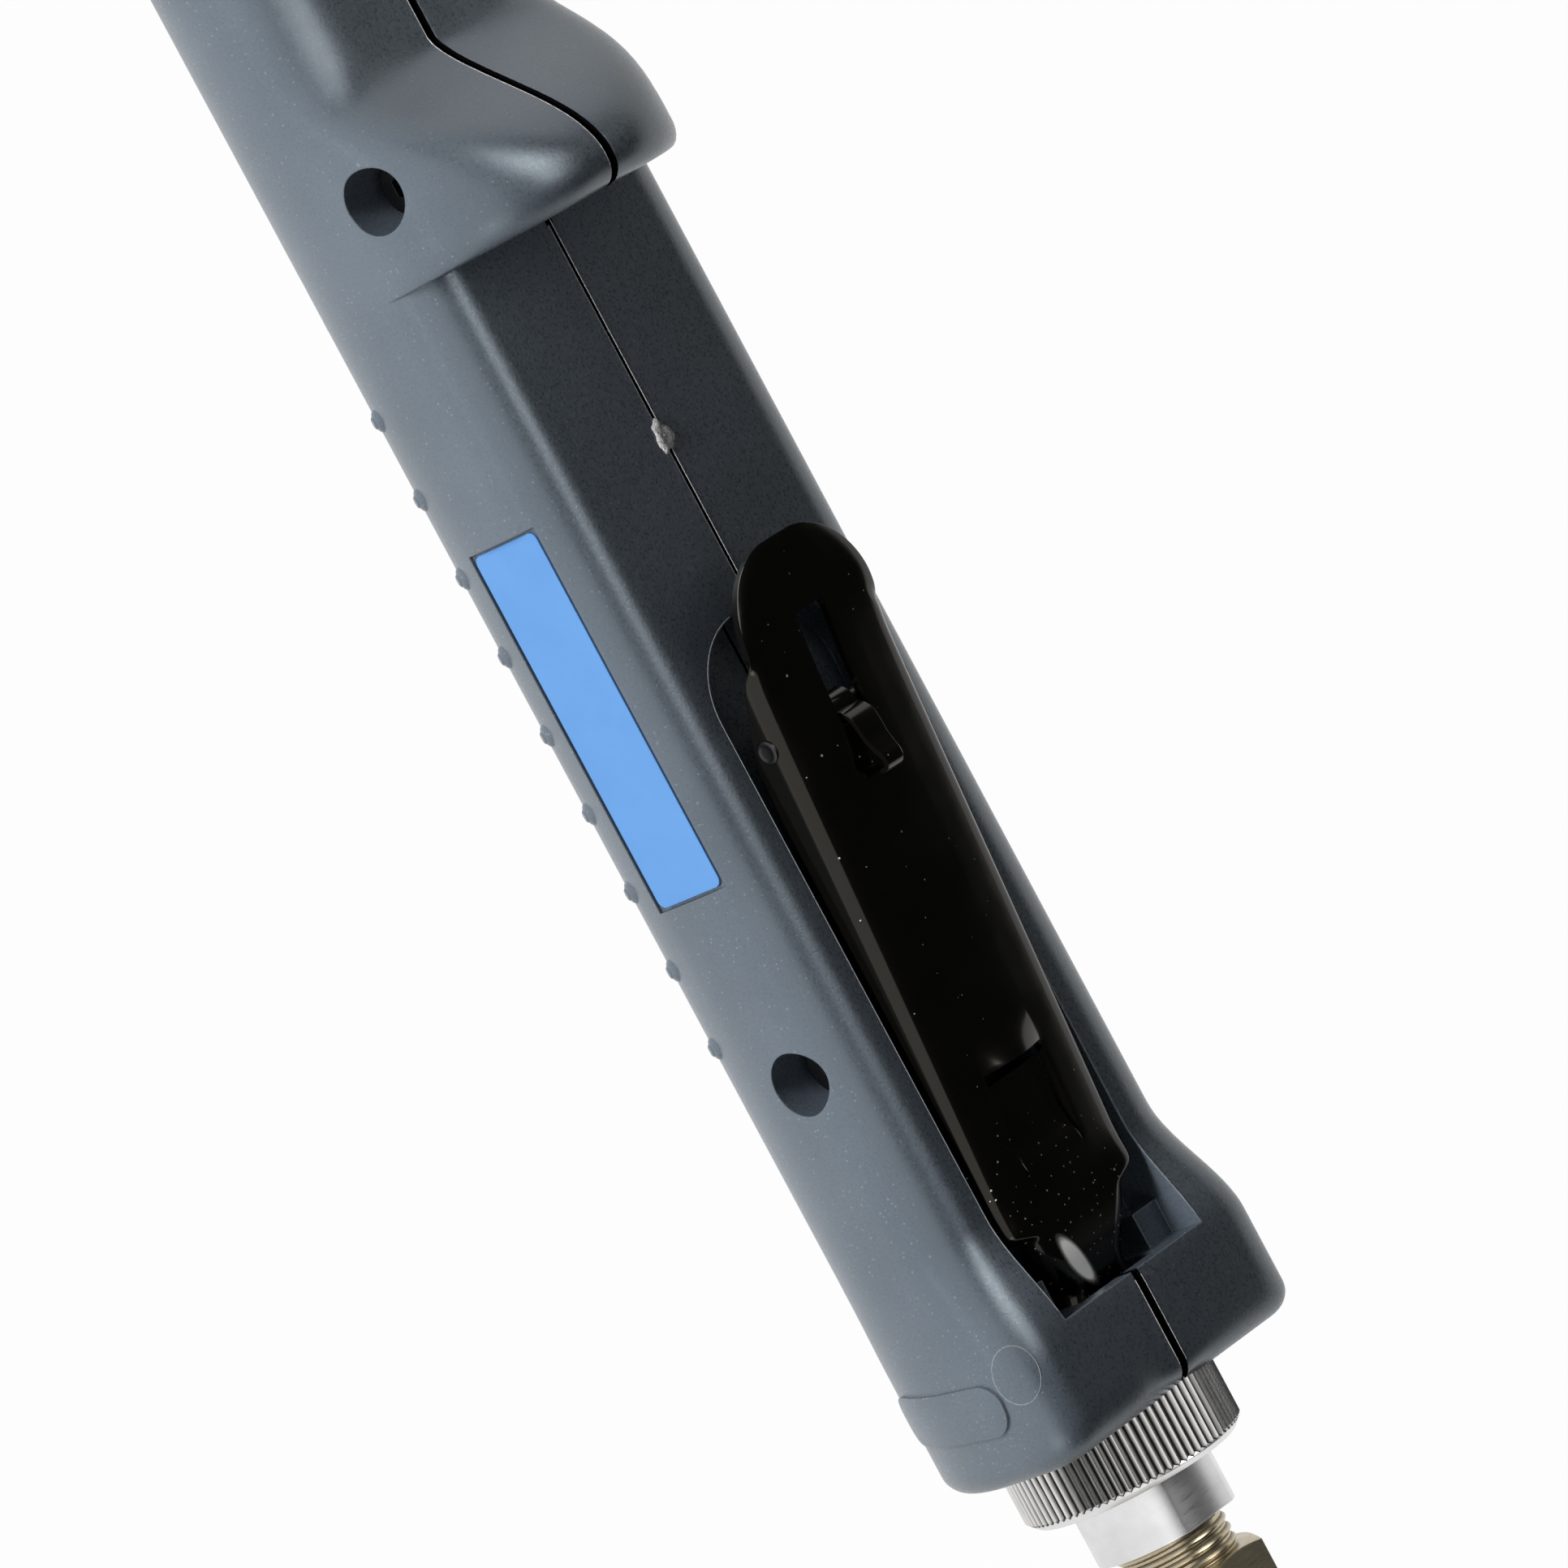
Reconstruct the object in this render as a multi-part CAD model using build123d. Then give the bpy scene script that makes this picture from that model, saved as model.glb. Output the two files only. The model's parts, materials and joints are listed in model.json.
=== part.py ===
from build123d import *
import os
from math import cos, pi, radians, sin, sqrt, tan

# In-line pneumatic jigsaw. Millimetres.
# +X runs forward to the blade, +Z is the lever side, +Y the left half shell.
# The origin is on the air inlet axis, where the nipple's probe starts.

# Clearances
RUN = 0.05          # radial gap of a running or screwed fit
LOOSE = 0.4         # gap between pieces that pass each other

# Hose nipple and inlet bushing
TIP_CHAMFER = 1.2
PROBE_RADIUS = 4.0
PROBE_LENGTH = 8.5
BULB_RADIUS = 5.95
BULB_LENGTH = 3.0
NECK_RADIUS = 4.6
NIPPLE_STEM = 20.0
NIPPLE_BORE = 2.6
NIPPLE_HEX = 17.0
NIPPLE_HEX_LENGTH = 9.0
PIPE_THREAD_RADIUS = 6.58
THREAD_SHOWN = 5.0
THREAD_ENGAGED = 6.0
BUSHING_RADIUS = 9.0
BUSHING_FLATS = 16.0
BUSHING_TURN = 0.0
BUSHING_HEAD = 7.0
BUSHING_SHANK_RADIUS = 6.0
BUSHING_SHANK = 12.0
BUSHING_BORE = 4.0

# Knurled exhaust collar
COLLAR_RADIUS = 14.25
COLLAR_LENGTH = 12.6
COLLAR_IN_HOUSING = 4.0
COLLAR_CHAMFER = 1.2
KNURL_COUNT = 80
KNURL_DEPTH = 0.5
FELT_INNER = 9.7
FELT_OUTER = 12.4
FELT_LENGTH = 6.0
EXHAUST_HOLES = 6
EXHAUST_HOLE_RADIUS = 1.0
EXHAUST_RING = 11.3
SPIGOT_RADIUS = 8.0
SEAL_HALF_WIDTH = 0.9
SEAL_HEIGHT = 1.8
SEAL_FROM_REAR = 3.0

# Housing: sections are rounded rectangles, half width by top and bottom height
WALL = 2.6
REAR_WALL = 2.5
HOUSING_BOTTOM = -16.0
GRIP_HALF_WIDTH = 22.4
GRIP_TOP = 12.2
GRIP_TOP_RADIUS = 7.0
GRIP_BOTTOM_RADIUS = 17.6
TAIL_HALF_WIDTH = 24.0
TAIL_TOP = 16.0
TAIL_TOP_RADIUS = 6.0
TAIL_BOTTOM_RADIUS = 20.0
TAIL_LENGTH = 12.5
TAIL_EDGE_RADIUS = 3.0
FLARE_LENGTH = 16.5
HUMP_FROM_REAR = 154.0
HUMP_LENGTH = 24.0
HUMP_TOP = 26.4
HUMP_TOP_RADIUS = 19.0
HUMP_EDGE_RADIUS = 3.0
HUMP_EDGE_CORNER = 18.2
HUMP_CREST = 3.5
HUMP_BLEND_POWER = 1.3
HUMP_CORNER_POWER = 2.2
FRONT_TOP = 9.5
FRONT_TOP_RADIUS = 7.0
SEAM_HALF_GAP = 0.2
SEAM_DEPTH = 1.2
RIB = 3.0
RIB_FROM_INLET_REAR = 8.0
RIB_FROM_VALVE = 10.0
RIB_FROM_INLET_END = 6.0
EXHAUST_PORTS = ((11.5, -4.0), (10.8, -8.0))
EXHAUST_PORT_RADIUS = 1.3
EXHAUST_DUCT_RADIUS = 2.2
NUB_COUNT = 9
NUB_PITCH = 10.3
NUB_FIRST_FROM_REAR = 59.9
NUB_ANGLE = 33.0
NUB_HEIGHT = 0.7
NUB_RADIUS = 1.35
NUB_SIDES = 8
NUB_TAPER = 40.0

# Label and the raised pad on the tail
LABEL_FROM_REAR = 77.5
LABEL_LENGTH = 46.0
LABEL_HEIGHT = 11.0
LABEL_CENTRE_Z = 2.8
LABEL_PLANE_Y = 21.2
LABEL_THICKNESS = 0.4
LABEL_GAP = 0.3
PAD_LENGTH = 20.0
PAD_WIDTH = 6.4
PAD_RAISE = 0.5
PAD_TILT = 5.0
PAD_CORNER = 2.8
PAD_FROM_REAR = 10.4
PAD_CENTRE_Z = 1.4

# Throttle lever, a folded sheet channel on a cross pin
SHEET = 1.2
LEVER_WIDTH = 24.4
LEVER_LENGTH = 101.0
LEVER_SLOPE = 5.2
LEVER_BEND = 3.4
LEVER_RISE = 4.05
LEVER_HEAD_LENGTH = 13.4
LEVER_HEAD_HALF = 10.5
LEVER_HEAD_CORNER = 9.0
LEVER_SKIRT = 5.2
TOE_SLANT = 8.0
TONGUE_WIDTH = 13.0
TONGUE_LENGTH = 11.5
TONGUE_FLAT = 6.0
SHOULDER_LENGTH = 3.0
PIVOT_FROM_REAR = 10.0
PIVOT_Z = 7.6
PIVOT_PIN_RADIUS = 1.5
PIVOT_PIN_LENGTH = 28.0
BRIDGE_LENGTH = 14.6
BRIDGE_THICKNESS = 2.8
POCKET_LENGTH = 88.9
POCKET_FLOOR = 6.0
POCKET_SIDE_GAP = 1.1
POCKET_CORNER = 10.0
TRAY = 1.5
LEDGE_LENGTH = 4.4
LEDGE_TOP = 10.8
LEDGE_WIDTH = 4.4
WINDOW_LENGTH = 14.6
WINDOW_WIDTH = 5.2
WINDOW_CORNER = 1.0
WINDOW_FROM_TIP = 9.6
PAD_PRESS_LENGTH = 11.2
PAD_PRESS_WIDTH = 10.0
PAD_PRESS_DROP = 1.8
PAD_PRESS_RAMP = 2.0

# Lock latch in the lever
LATCH_PIN_FROM_TIP = 22.3
LATCH_PIN_DROP = 3.3
LATCH_PIN_RADIUS = 1.2
LATCH_WIDTH = 4.2
LATCH_FOOT = 8.0
LATCH_TAB = 7.6
LATCH_TAB_FLAT = 5.7
LATCH_TAB_RISE = 1.0
LATCH_STOP_LAP = 0.9
LATCH_PIT_LENGTH = 7.6
LATCH_PIT_FLOOR = 2.5
LATCH_SPRING_WIRE = 0.3
LATCH_SPRING_TURNS = 3

# Throttle valve, upright under the lever's pressing pad
VALVE_FROM_PIVOT = 25.0
VALVE_BUSH_RADIUS = 4.0
VALVE_BUSH_TOP = 6.8
VALVE_SEAT_Z = -6.4
STEM_RADIUS = 1.5
STEM_TOP_GAP = 0.45
STEM_HEAD_RADIUS = 3.2
STEM_HEAD = 1.4
VALVE_SEAL = 0.4
VALVE_PLUG_TOP = -10.3
VALVE_PLUG_BOTTOM = -12.6
PLUG_FLOOR = 0.8
VALVE_SPRING_RADIUS = 1.9
VALVE_SPRING_WIRE = 0.3
VALVE_SPRING_TURNS = 3

# Inlet body and air tube
INLET_RADIUS = 10.0
INLET_AXIS_Z = -3.0
INLET_TOP = 2.6
INLET_LENGTH = 55.0
AIR_PASSAGE = 2.5
VALVE_PORT = 1.75
SUPPLY_Z = -5.5
SUPPLY_RADIUS = 1.9
TUBE_Z = -3.5
TUBE_RADIUS = 4.5
TUBE_SOCKET = 4.0
SCREEN_THICKNESS = 1.5
SCREEN_HOLES = 4
SCREEN_HOLE_RADIUS = 1.2
SCREEN_RING = 3.6

# Air motor
MOTOR_Z = -3.2
MOTOR_RADIUS = 10.8
MOTOR_FROM_HUMP = 44.0
MOTOR_BORE = 8.5
REAR_CAP = 8.0
CHEST_PLATE = 2.0
FLAPPER = 1.2
FLAPPER_TRAVEL = 0.8
PLATE_PORT = 1.75
CYLINDER_LENGTH = 50.0
STROKE = 10.0
PISTON_LENGTH = 16.0
PISTON_REST = 8.0
PISTON_RING = 2.0
PISTON_RING_DEPTH = 1.2
ROD_RADIUS = 4.0
BUMPER = 4.0
FRONT_BUSH_LENGTH = 14.0
ROD_SEAL = 4.0
ROD_SEAL_RADIUS = 7.0

# Nose, blade and guard
NOSE_BODY_LENGTH = 14.0
NOSE_GROOVE = 1.4
NOSE_GROOVE_X = 5.0
NOSE_BLOCK_LENGTH = 28.0
NOSE_HALF_WIDTH = 12.0
NOSE_HALF_HEIGHT = 10.0
NOSE_CORNER = 5.0
NOSE_EDGE = 1.5
NOSE_BORE = 7.6
NOSE_BORE_WALL = 6.0
HOUSING_NOSE_WALL = 4.0
HOLDER_RADIUS = 7.0
HOLDER_LENGTH = 32.5
HOLDER_GAP = 1.5
HOLDER_CHAMFER = 1.0
ROD_IN_HOLDER = 8.5
BLADE_LENGTH = 91.0
BLADE_HEIGHT = 12.5
BLADE_THICKNESS = 0.9
BLADE_IN_HOLDER = 17.0
BLADE_SLOT_SPARE = 1.0
BLADE_TIP_RAKE = 6.0
BLADE_TIP_RISE = 7.5
TOOTH_PITCH = 1.4
TOOTH_DEPTH = 0.9
BLADE_SCREW_RADIUS = 2.0
BLADE_SCREW_PITCH = 8.0
BLADE_SCREW_SUNK = 0.6
GUARD_SHEET = 2.0
GUARD_FROM_HOUSING = 6.5
GUARD_LENGTH = 66.0
GUARD_ARM_HEIGHT = 14.0
GUARD_TRAVEL = 5.0
GUARD_FLARE = 2.0
SHOE_HALF_WIDTH = 18.0
SHOE_TOP = 12.0
SHOE_BOTTOM = -15.5
SHOE_CORNER = 4.0
BLADE_NOTCH = 5.0
BLADE_NOTCH_TOP = 7.0
GUARD_SCREW_RADIUS = 2.5
GUARD_SCREW_HEAD = 4.4
GUARD_SCREW_HEIGHT = 2.8
GUARD_SCREW_CHAMFER = 0.6
GUARD_SOCKET = 3.0
GUARD_SOCKET_DEPTH = 1.7
GUARD_SCREW_FROM_NOSE = 6.0
WASHER = 1.0
WASHER_RADIUS = 5.0

# Housing screws, along Y from the left
SCREW_RADIUS = 1.5
SCREW_HEAD_RADIUS = 3.5
SCREW_HEAD = 1.8
SCREW_HOLE_RADIUS = 4.0
SCREW_SEAT_Y = 14.8
SCREW_DEPTH = 16.0
BOSS_WALL = 1.4
SCREW_RIB_WALL = 0.6
SCREW_SOCKET = 3.0
SCREW_SOCKET_DEPTH = 1.2
REAR_SCREW_FROM_REAR = 52.8
REAR_SCREW_Z = 4.6
FRONT_SCREW_FROM_HUMP = 11.0
FRONT_SCREW_Z = 11.2

# Stations along X
NIPPLE_HEX_X = NIPPLE_STEM
BUSHING_X = NIPPLE_HEX_X + NIPPLE_HEX_LENGTH + THREAD_SHOWN
SPIGOT_X = BUSHING_X + BUSHING_HEAD
COLLAR_X = SPIGOT_X + LOOSE
COLLAR_END = COLLAR_X + COLLAR_LENGTH
HOUSING_X = COLLAR_END - COLLAR_IN_HOUSING
COUNTERBORE_END = COLLAR_END + LOOSE
FELT_X = COLLAR_END - FELT_LENGTH - RUN
SEAL_X = COLLAR_X + SEAL_FROM_REAR
INLET_X = COUNTERBORE_END + REAR_WALL
INLET_END = INLET_X + INLET_LENGTH
FLARE_X = HOUSING_X + TAIL_LENGTH
GRIP_X = FLARE_X + FLARE_LENGTH
HUMP_X = HOUSING_X + HUMP_FROM_REAR
FRONT_X = HUMP_X + HUMP_LENGTH
PIVOT_X = HOUSING_X + PIVOT_FROM_REAR
POCKET_X = HOUSING_X + BRIDGE_LENGTH
POCKET_END = POCKET_X + POCKET_LENGTH
VALVE_X = PIVOT_X + VALVE_FROM_PIVOT
REAR_SCREW_X = HOUSING_X + REAR_SCREW_FROM_REAR
FRONT_SCREW_X = HUMP_X + FRONT_SCREW_FROM_HUMP
MOTOR_X = HUMP_X - MOTOR_FROM_HUMP
CHEST_X = MOTOR_X + REAR_CAP
CHEST_LENGTH = 2 * CHEST_PLATE + FLAPPER + FLAPPER_TRAVEL + 2 * LOOSE
CYLINDER_X = CHEST_X + CHEST_LENGTH
FRONT_BUSH_X = CYLINDER_X + CYLINDER_LENGTH
NOSE_X = FRONT_BUSH_X + FRONT_BUSH_LENGTH
NOSE_BLOCK_X = NOSE_X + NOSE_BODY_LENGTH
HOUSING_END = NOSE_BLOCK_X + HOUSING_NOSE_WALL - LOOSE
NOSE_END = NOSE_BLOCK_X + NOSE_BLOCK_LENGTH
NOSE_BORE_X = NOSE_BLOCK_X + NOSE_BORE_WALL
HOLDER_X = NOSE_BORE_X + HOLDER_GAP
HOLDER_END = HOLDER_X + HOLDER_LENGTH
BLADE_X = HOLDER_END - BLADE_IN_HOLDER
PISTON_X = CYLINDER_X + PISTON_REST
GUARD_X = HOUSING_END + GUARD_FROM_HOUSING
GUARD_END = GUARD_X + GUARD_LENGTH
GUARD_SCREW_X = NOSE_END - GUARD_SCREW_FROM_NOSE

POCKET_HALF_WIDTH = LEVER_WIDTH / 2 + POCKET_SIDE_GAP
EYE_RADIUS = PIVOT_PIN_RADIUS + RUN + SHEET
CAVITY_TOP = GRIP_TOP - WALL
FAR = 400.0


# Shapes used by several pieces

def block(x0, x1, y0, y1, z0, z1):
    """Box between two corners."""
    return Pos((x0 + x1) / 2, (y0 + y1) / 2, (z0 + z1) / 2) * Box(x1 - x0, y1 - y0, z1 - z0)


def bar(radius, length):
    return Cylinder(radius, length, align=(Align.CENTER, Align.CENTER, Align.MIN))


def rod_x(x0, x1, radius, y=0.0, z=0.0):
    """Round bar along X."""
    return Pos(x0, y, z) * Rot(0, 90, 0) * bar(radius, x1 - x0)


def rod_y(x, z, y0, y1, radius):
    """Round bar along Y."""
    return Pos(x, y0, z) * Rot(-90, 0, 0) * bar(radius, y1 - y0)


def rod_z(x, z0, z1, radius):
    """Round bar along Z."""
    return Pos(x, 0, z0) * bar(radius, z1 - z0)


def ring_x(x0, x1, inner, outer, z=0.0):
    """Plain ring about a line along X."""
    return rod_x(x0, x1, outer, z=z) - rod_x(x0, x1, inner, z=z)


def turned(points, z=0.0):
    """Solid turned about a line along X, from (x, radius) corners."""
    profile = Plane.XZ * make_face(Polyline(*points, close=True))
    return Pos(0, 0, z) * revolve(profile, Axis.X)


def across(x):
    """Plane across the tool at X = x, with Y and Z as its own axes."""
    return Plane((x, 0, 0), x_dir=(0, 1, 0), z_dir=(1, 0, 0))


def from_above(z):
    """Plane at height z, with X and Y as its own axes."""
    return Plane((0, 0, z))


def section(x, half_width, top, bottom, top_radius, bottom_radius):
    """Rounded rectangle across the tool at X = x."""
    flat_top = half_width - top_radius
    flat_bottom = half_width - bottom_radius
    upper = top - top_radius
    lower = bottom + bottom_radius
    outline = [
        Line((-flat_bottom, bottom), (flat_bottom, bottom)),
        CenterArc((flat_bottom, lower), bottom_radius, -90, 90),
        Line((half_width, lower), (half_width, upper)),
        CenterArc((flat_top, upper), top_radius, 0, 90),
        Line((flat_top, top), (-flat_top, top)),
        CenterArc((-flat_top, upper), top_radius, 90, 90),
        Line((-half_width, upper), (-half_width, lower)),
        CenterArc((-flat_bottom, lower), bottom_radius, 180, 90),
    ]
    return across(x) * make_face(outline)


def blended(start, end, share):
    """Point on the way from one tuple of sizes to another."""
    return tuple(a + (b - a) * share for a, b in zip(start, end))


# Housing

TAIL_SIZES = (TAIL_HALF_WIDTH, TAIL_TOP, HOUSING_BOTTOM, TAIL_TOP_RADIUS, TAIL_BOTTOM_RADIUS)
GRIP_SIZES = (GRIP_HALF_WIDTH, GRIP_TOP, HOUSING_BOTTOM, GRIP_TOP_RADIUS, GRIP_BOTTOM_RADIUS)
FRONT_SIZES = (GRIP_HALF_WIDTH, FRONT_TOP, HOUSING_BOTTOM, FRONT_TOP_RADIUS, GRIP_BOTTOM_RADIUS)
HUMP_SIZES = (GRIP_HALF_WIDTH, HUMP_TOP, HOUSING_BOTTOM, HUMP_TOP_RADIUS, GRIP_BOTTOM_RADIUS)
HUMP_EDGE_SIZES = (GRIP_HALF_WIDTH, HUMP_TOP - HUMP_EDGE_RADIUS, HOUSING_BOTTOM, HUMP_EDGE_CORNER,
                   GRIP_BOTTOM_RADIUS)


def housing_section(x, sizes, inset):
    half_width, top, bottom, top_radius, bottom_radius = sizes
    return section(x, half_width - inset, top - inset, bottom + inset, top_radius - inset, bottom_radius - inset)


def hump_sizes(x):
    """The hump swells from the front body in a soft hollow, then rolls over to its crest."""
    along = (FRONT_X - x) / (HUMP_LENGTH - HUMP_CREST)
    share = sin(pi / 2 * min(1.0, max(0.0, along)) ** HUMP_BLEND_POWER)
    half_width, top, bottom, _, bottom_radius = blended(FRONT_SIZES, HUMP_SIZES, share)
    top_radius = FRONT_TOP_RADIUS + (HUMP_TOP_RADIUS - FRONT_TOP_RADIUS) * share ** HUMP_CORNER_POWER
    return half_width, top, bottom, top_radius, bottom_radius


def outer_form(inset=0.0):
    """The housing's outside, or the same form drawn in all round."""
    rear = HOUSING_X + inset
    end = HOUSING_END - inset
    tail = extrude(housing_section(rear, TAIL_SIZES, inset), FLARE_X - rear)
    if inset == 0.0:
        tail = fillet(tail.faces().sort_by(Axis.X)[0].edges(), TAIL_EDGE_RADIUS)

    flare_steps = 6
    flare = []
    for step in range(flare_steps + 1):
        share = step / flare_steps
        eased = share * share * (3 - 2 * share)
        sizes = blended(TAIL_SIZES, GRIP_SIZES, eased)
        flare.append(housing_section(FLARE_X + FLARE_LENGTH * share, sizes, inset))

    grip = extrude(housing_section(GRIP_X, GRIP_SIZES, inset), HUMP_X - GRIP_X)

    edge_steps = 3
    edge = []
    for step in range(edge_steps + 1):
        turn = pi / 2 * step / edge_steps
        x = HUMP_X + HUMP_EDGE_RADIUS * (1 - cos(turn))
        edge.append(housing_section(x, blended(HUMP_EDGE_SIZES, HUMP_SIZES, sin(turn)), inset))

    hump_steps = 7
    hump_start = HUMP_X + HUMP_EDGE_RADIUS
    hump = []
    for step in range(hump_steps + 1):
        x = hump_start + (FRONT_X - hump_start) * step / hump_steps
        hump.append(housing_section(x, hump_sizes(x), inset))

    front = extrude(housing_section(FRONT_X, FRONT_SIZES, inset), end - FRONT_X)
    return tail + [loft(flare), grip, loft(edge), loft(hump), front]


def inlet_blank(x0, x1, grow=0.0):
    """Round bar with a flat top that passes under the lever's pocket."""
    round_bar = rod_x(x0, x1, INLET_RADIUS + grow, z=INLET_AXIS_Z)
    return round_bar - block(x0, x1, -FAR, FAR, INLET_TOP + grow, FAR)


def pocket_form():
    """Space that the lever works in: the open pocket, the slot under the bridge and the latch pit."""
    half = POCKET_HALF_WIDTH
    plan = Pos((POCKET_X + POCKET_END) / 2, 0) * Rectangle(POCKET_LENGTH, 2 * half)
    plan = fillet(plan.vertices().group_by(Axis.X)[-1], POCKET_CORNER)
    pocket = extrude(from_above(POCKET_FLOOR) * plan, HUMP_TOP)
    slot_half = TONGUE_WIDTH / 2 + 2 * LOOSE
    slot = block(PIVOT_X - EYE_RADIUS - LOOSE, POCKET_X + LOOSE, -slot_half, slot_half,
                 PIVOT_Z - EYE_RADIUS - LOOSE, TAIL_TOP - BRIDGE_THICKNESS)
    for side in (-1, 1):
        ledge = block(POCKET_X, POCKET_X + LEDGE_LENGTH, half - LEDGE_WIDTH, half, POCKET_FLOOR, LEDGE_TOP)
        pocket -= ledge if side > 0 else mirror(ledge, Plane.XZ)
    pocket -= rod_y(REAR_SCREW_X, REAR_SCREW_Z, -half, half, SCREW_RADIUS + SCREW_RIB_WALL)
    return pocket + slot + latch_pit()


def latch_pit(wall=0.0):
    pit_half = LATCH_WIDTH / 2 + 2 * LOOSE + wall
    front = latch_pin_place()[0] + SHEET / 2 - LATCH_STOP_LAP
    return block(front - LATCH_PIT_LENGTH - wall, front + wall, -pit_half, pit_half,
                 LATCH_PIT_FLOOR - wall, POCKET_FLOOR)


def lever_place(u, v):
    """X and Z of a point of the lever at rest, u along it from the pivot and v above it."""
    slope = radians(LEVER_SLOPE)
    return (PIVOT_X + u * cos(slope) - v * sin(slope), PIVOT_Z + u * sin(slope) + v * cos(slope))


def latch_pin_place():
    return lever_place(LEVER_LENGTH - LATCH_PIN_FROM_TIP, LEVER_RISE - LATCH_PIN_DROP)


def screw_places():
    return ((REAR_SCREW_X, REAR_SCREW_Z), (FRONT_SCREW_X, FRONT_SCREW_Z))


def nose_section(x, grow=0.0):
    corner = NOSE_CORNER + grow
    half_height = NOSE_HALF_HEIGHT + grow
    return section(x, NOSE_HALF_WIDTH + grow, MOTOR_Z + half_height, MOTOR_Z - half_height, corner, corner)


def rib_stations():
    inlet_ribs = [INLET_X + RIB_FROM_INLET_REAR, VALVE_X + RIB_FROM_VALVE, INLET_END - RIB_FROM_INLET_END]
    tube_ribs = [(INLET_END + MOTOR_X) / 2 + RIB]
    motor_ribs = [MOTOR_X + RIB, CYLINDER_X + RIB]
    return inlet_ribs + tube_ribs + motor_ribs


def housing_inside(form):
    """Hollow the form, then put back the ribs, tray and bosses that carry the works."""
    cavity_x = INLET_X - LOOSE
    cavity = extrude(housing_section(cavity_x, GRIP_SIZES, WALL), HUMP_X - WALL - cavity_x)
    shell = form - cavity

    tray_half = POCKET_HALF_WIDTH + TRAY
    tray = block(cavity_x, POCKET_END + TRAY, -tray_half, tray_half, POCKET_FLOOR - TRAY, CAVITY_TOP)
    yoke = block(cavity_x, POCKET_X + TRAY, -tray_half, tray_half, INLET_TOP + RUN, CAVITY_TOP)
    fill = [tray, yoke, latch_pit(TRAY - RUN)]
    for x in rib_stations():
        fill.append(extrude(housing_section(x, GRIP_SIZES, WALL), RIB))
    for x, z in screw_places():
        reach = GRIP_HALF_WIDTH - WALL / 2
        fill.append(rod_y(x, z, -reach, reach, SCREW_HOLE_RADIUS + BOSS_WALL) & form)
    return shell + fill


def housing_cuts():
    """Everything that is cut from both half shells."""
    cuts = [pocket_form(), inlet_blank(INLET_X - LOOSE, INLET_END + LOOSE, 2 * RUN)]
    cuts.append(rod_x(INLET_END, MOTOR_X, TUBE_RADIUS + 2 * RUN, z=TUBE_Z))
    cuts.append(rod_x(MOTOR_X - LOOSE, NOSE_X + NOSE_GROOVE_X, MOTOR_RADIUS + 2 * RUN, z=MOTOR_Z))
    groove_radius = MOTOR_RADIUS - NOSE_GROOVE + 2 * RUN
    cuts.append(rod_x(NOSE_X, NOSE_BLOCK_X, groove_radius, z=MOTOR_Z))
    cuts.append(rod_x(NOSE_X + NOSE_GROOVE_X + RIB, NOSE_BLOCK_X, MOTOR_RADIUS + 2 * RUN, z=MOTOR_Z))
    cuts.append(extrude(nose_section(NOSE_BLOCK_X - LOOSE, LOOSE), HOUSING_NOSE_WALL + 2 * LOOSE))
    cuts.append(rod_x(HOUSING_X - LOOSE, COUNTERBORE_END, COLLAR_RADIUS + LOOSE))
    cuts.append(rod_x(COUNTERBORE_END - LOOSE, INLET_X, SPIGOT_RADIUS + RUN))
    cuts.append(rod_z(VALVE_X, INLET_TOP, POCKET_FLOOR + LOOSE, VALVE_BUSH_RADIUS + 2 * RUN))
    pin_reach = PIVOT_PIN_LENGTH / 2 + LOOSE
    cuts.append(rod_y(PIVOT_X, PIVOT_Z, -pin_reach, pin_reach, PIVOT_PIN_RADIUS + RUN))
    for side in (-1, 1):
        for y, z in EXHAUST_PORTS:
            cuts.append(rod_x(COUNTERBORE_END - LOOSE, INLET_X + RIB, EXHAUST_PORT_RADIUS, y=side * y, z=z))
        duct_y = (INLET_RADIUS + GRIP_HALF_WIDTH - WALL) / 2
        cuts.append(rod_x(INLET_X, HUMP_X - 2 * WALL, EXHAUST_DUCT_RADIUS, y=side * duct_y, z=TUBE_Z))
    for x, z in screw_places():
        cuts.append(rod_y(x, z, SCREW_SEAT_Y, FAR, SCREW_HOLE_RADIUS))
        cuts.append(rod_y(x, z, 0, SCREW_SEAT_Y, SCREW_RADIUS + 3 * RUN))
        cuts.append(rod_y(x, z, -SCREW_DEPTH - LOOSE, 0, SCREW_RADIUS + RUN))
    cuts.append(label_form(LABEL_GAP, LABEL_PLANE_Y, FAR))
    return cuts


def label_form(grow, y0, y1):
    """Plate-shaped block on the left side, between two depths."""
    x0 = HOUSING_X + LABEL_FROM_REAR
    half = LABEL_HEIGHT / 2 + grow
    return block(x0 - grow, x0 + LABEL_LENGTH + grow, y0, y1, LABEL_CENTRE_Z - half, LABEL_CENTRE_Z + half)


def grip_nubs():
    """Row of small blunt studs along the left lower edge of the grip."""
    angle = radians(NUB_ANGLE)
    reach = GRIP_BOTTOM_RADIUS - NUB_HEIGHT
    y = GRIP_HALF_WIDTH - GRIP_BOTTOM_RADIUS + reach * cos(angle)
    z = HOUSING_BOTTOM + GRIP_BOTTOM_RADIUS - reach * sin(angle)
    foot = NUB_RADIUS + NUB_HEIGHT * tan(radians(NUB_TAPER))
    nubs = []
    for index in range(NUB_COUNT):
        x = HOUSING_X + NUB_FIRST_FROM_REAR + index * NUB_PITCH
        plane = Plane((x, y, z), x_dir=(1, 0, 0), z_dir=(0, cos(angle), -sin(angle)))
        nubs.append(extrude(plane * RegularPolygon(foot, NUB_SIDES), 2 * NUB_HEIGHT, taper=NUB_TAPER))
    return nubs


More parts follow.
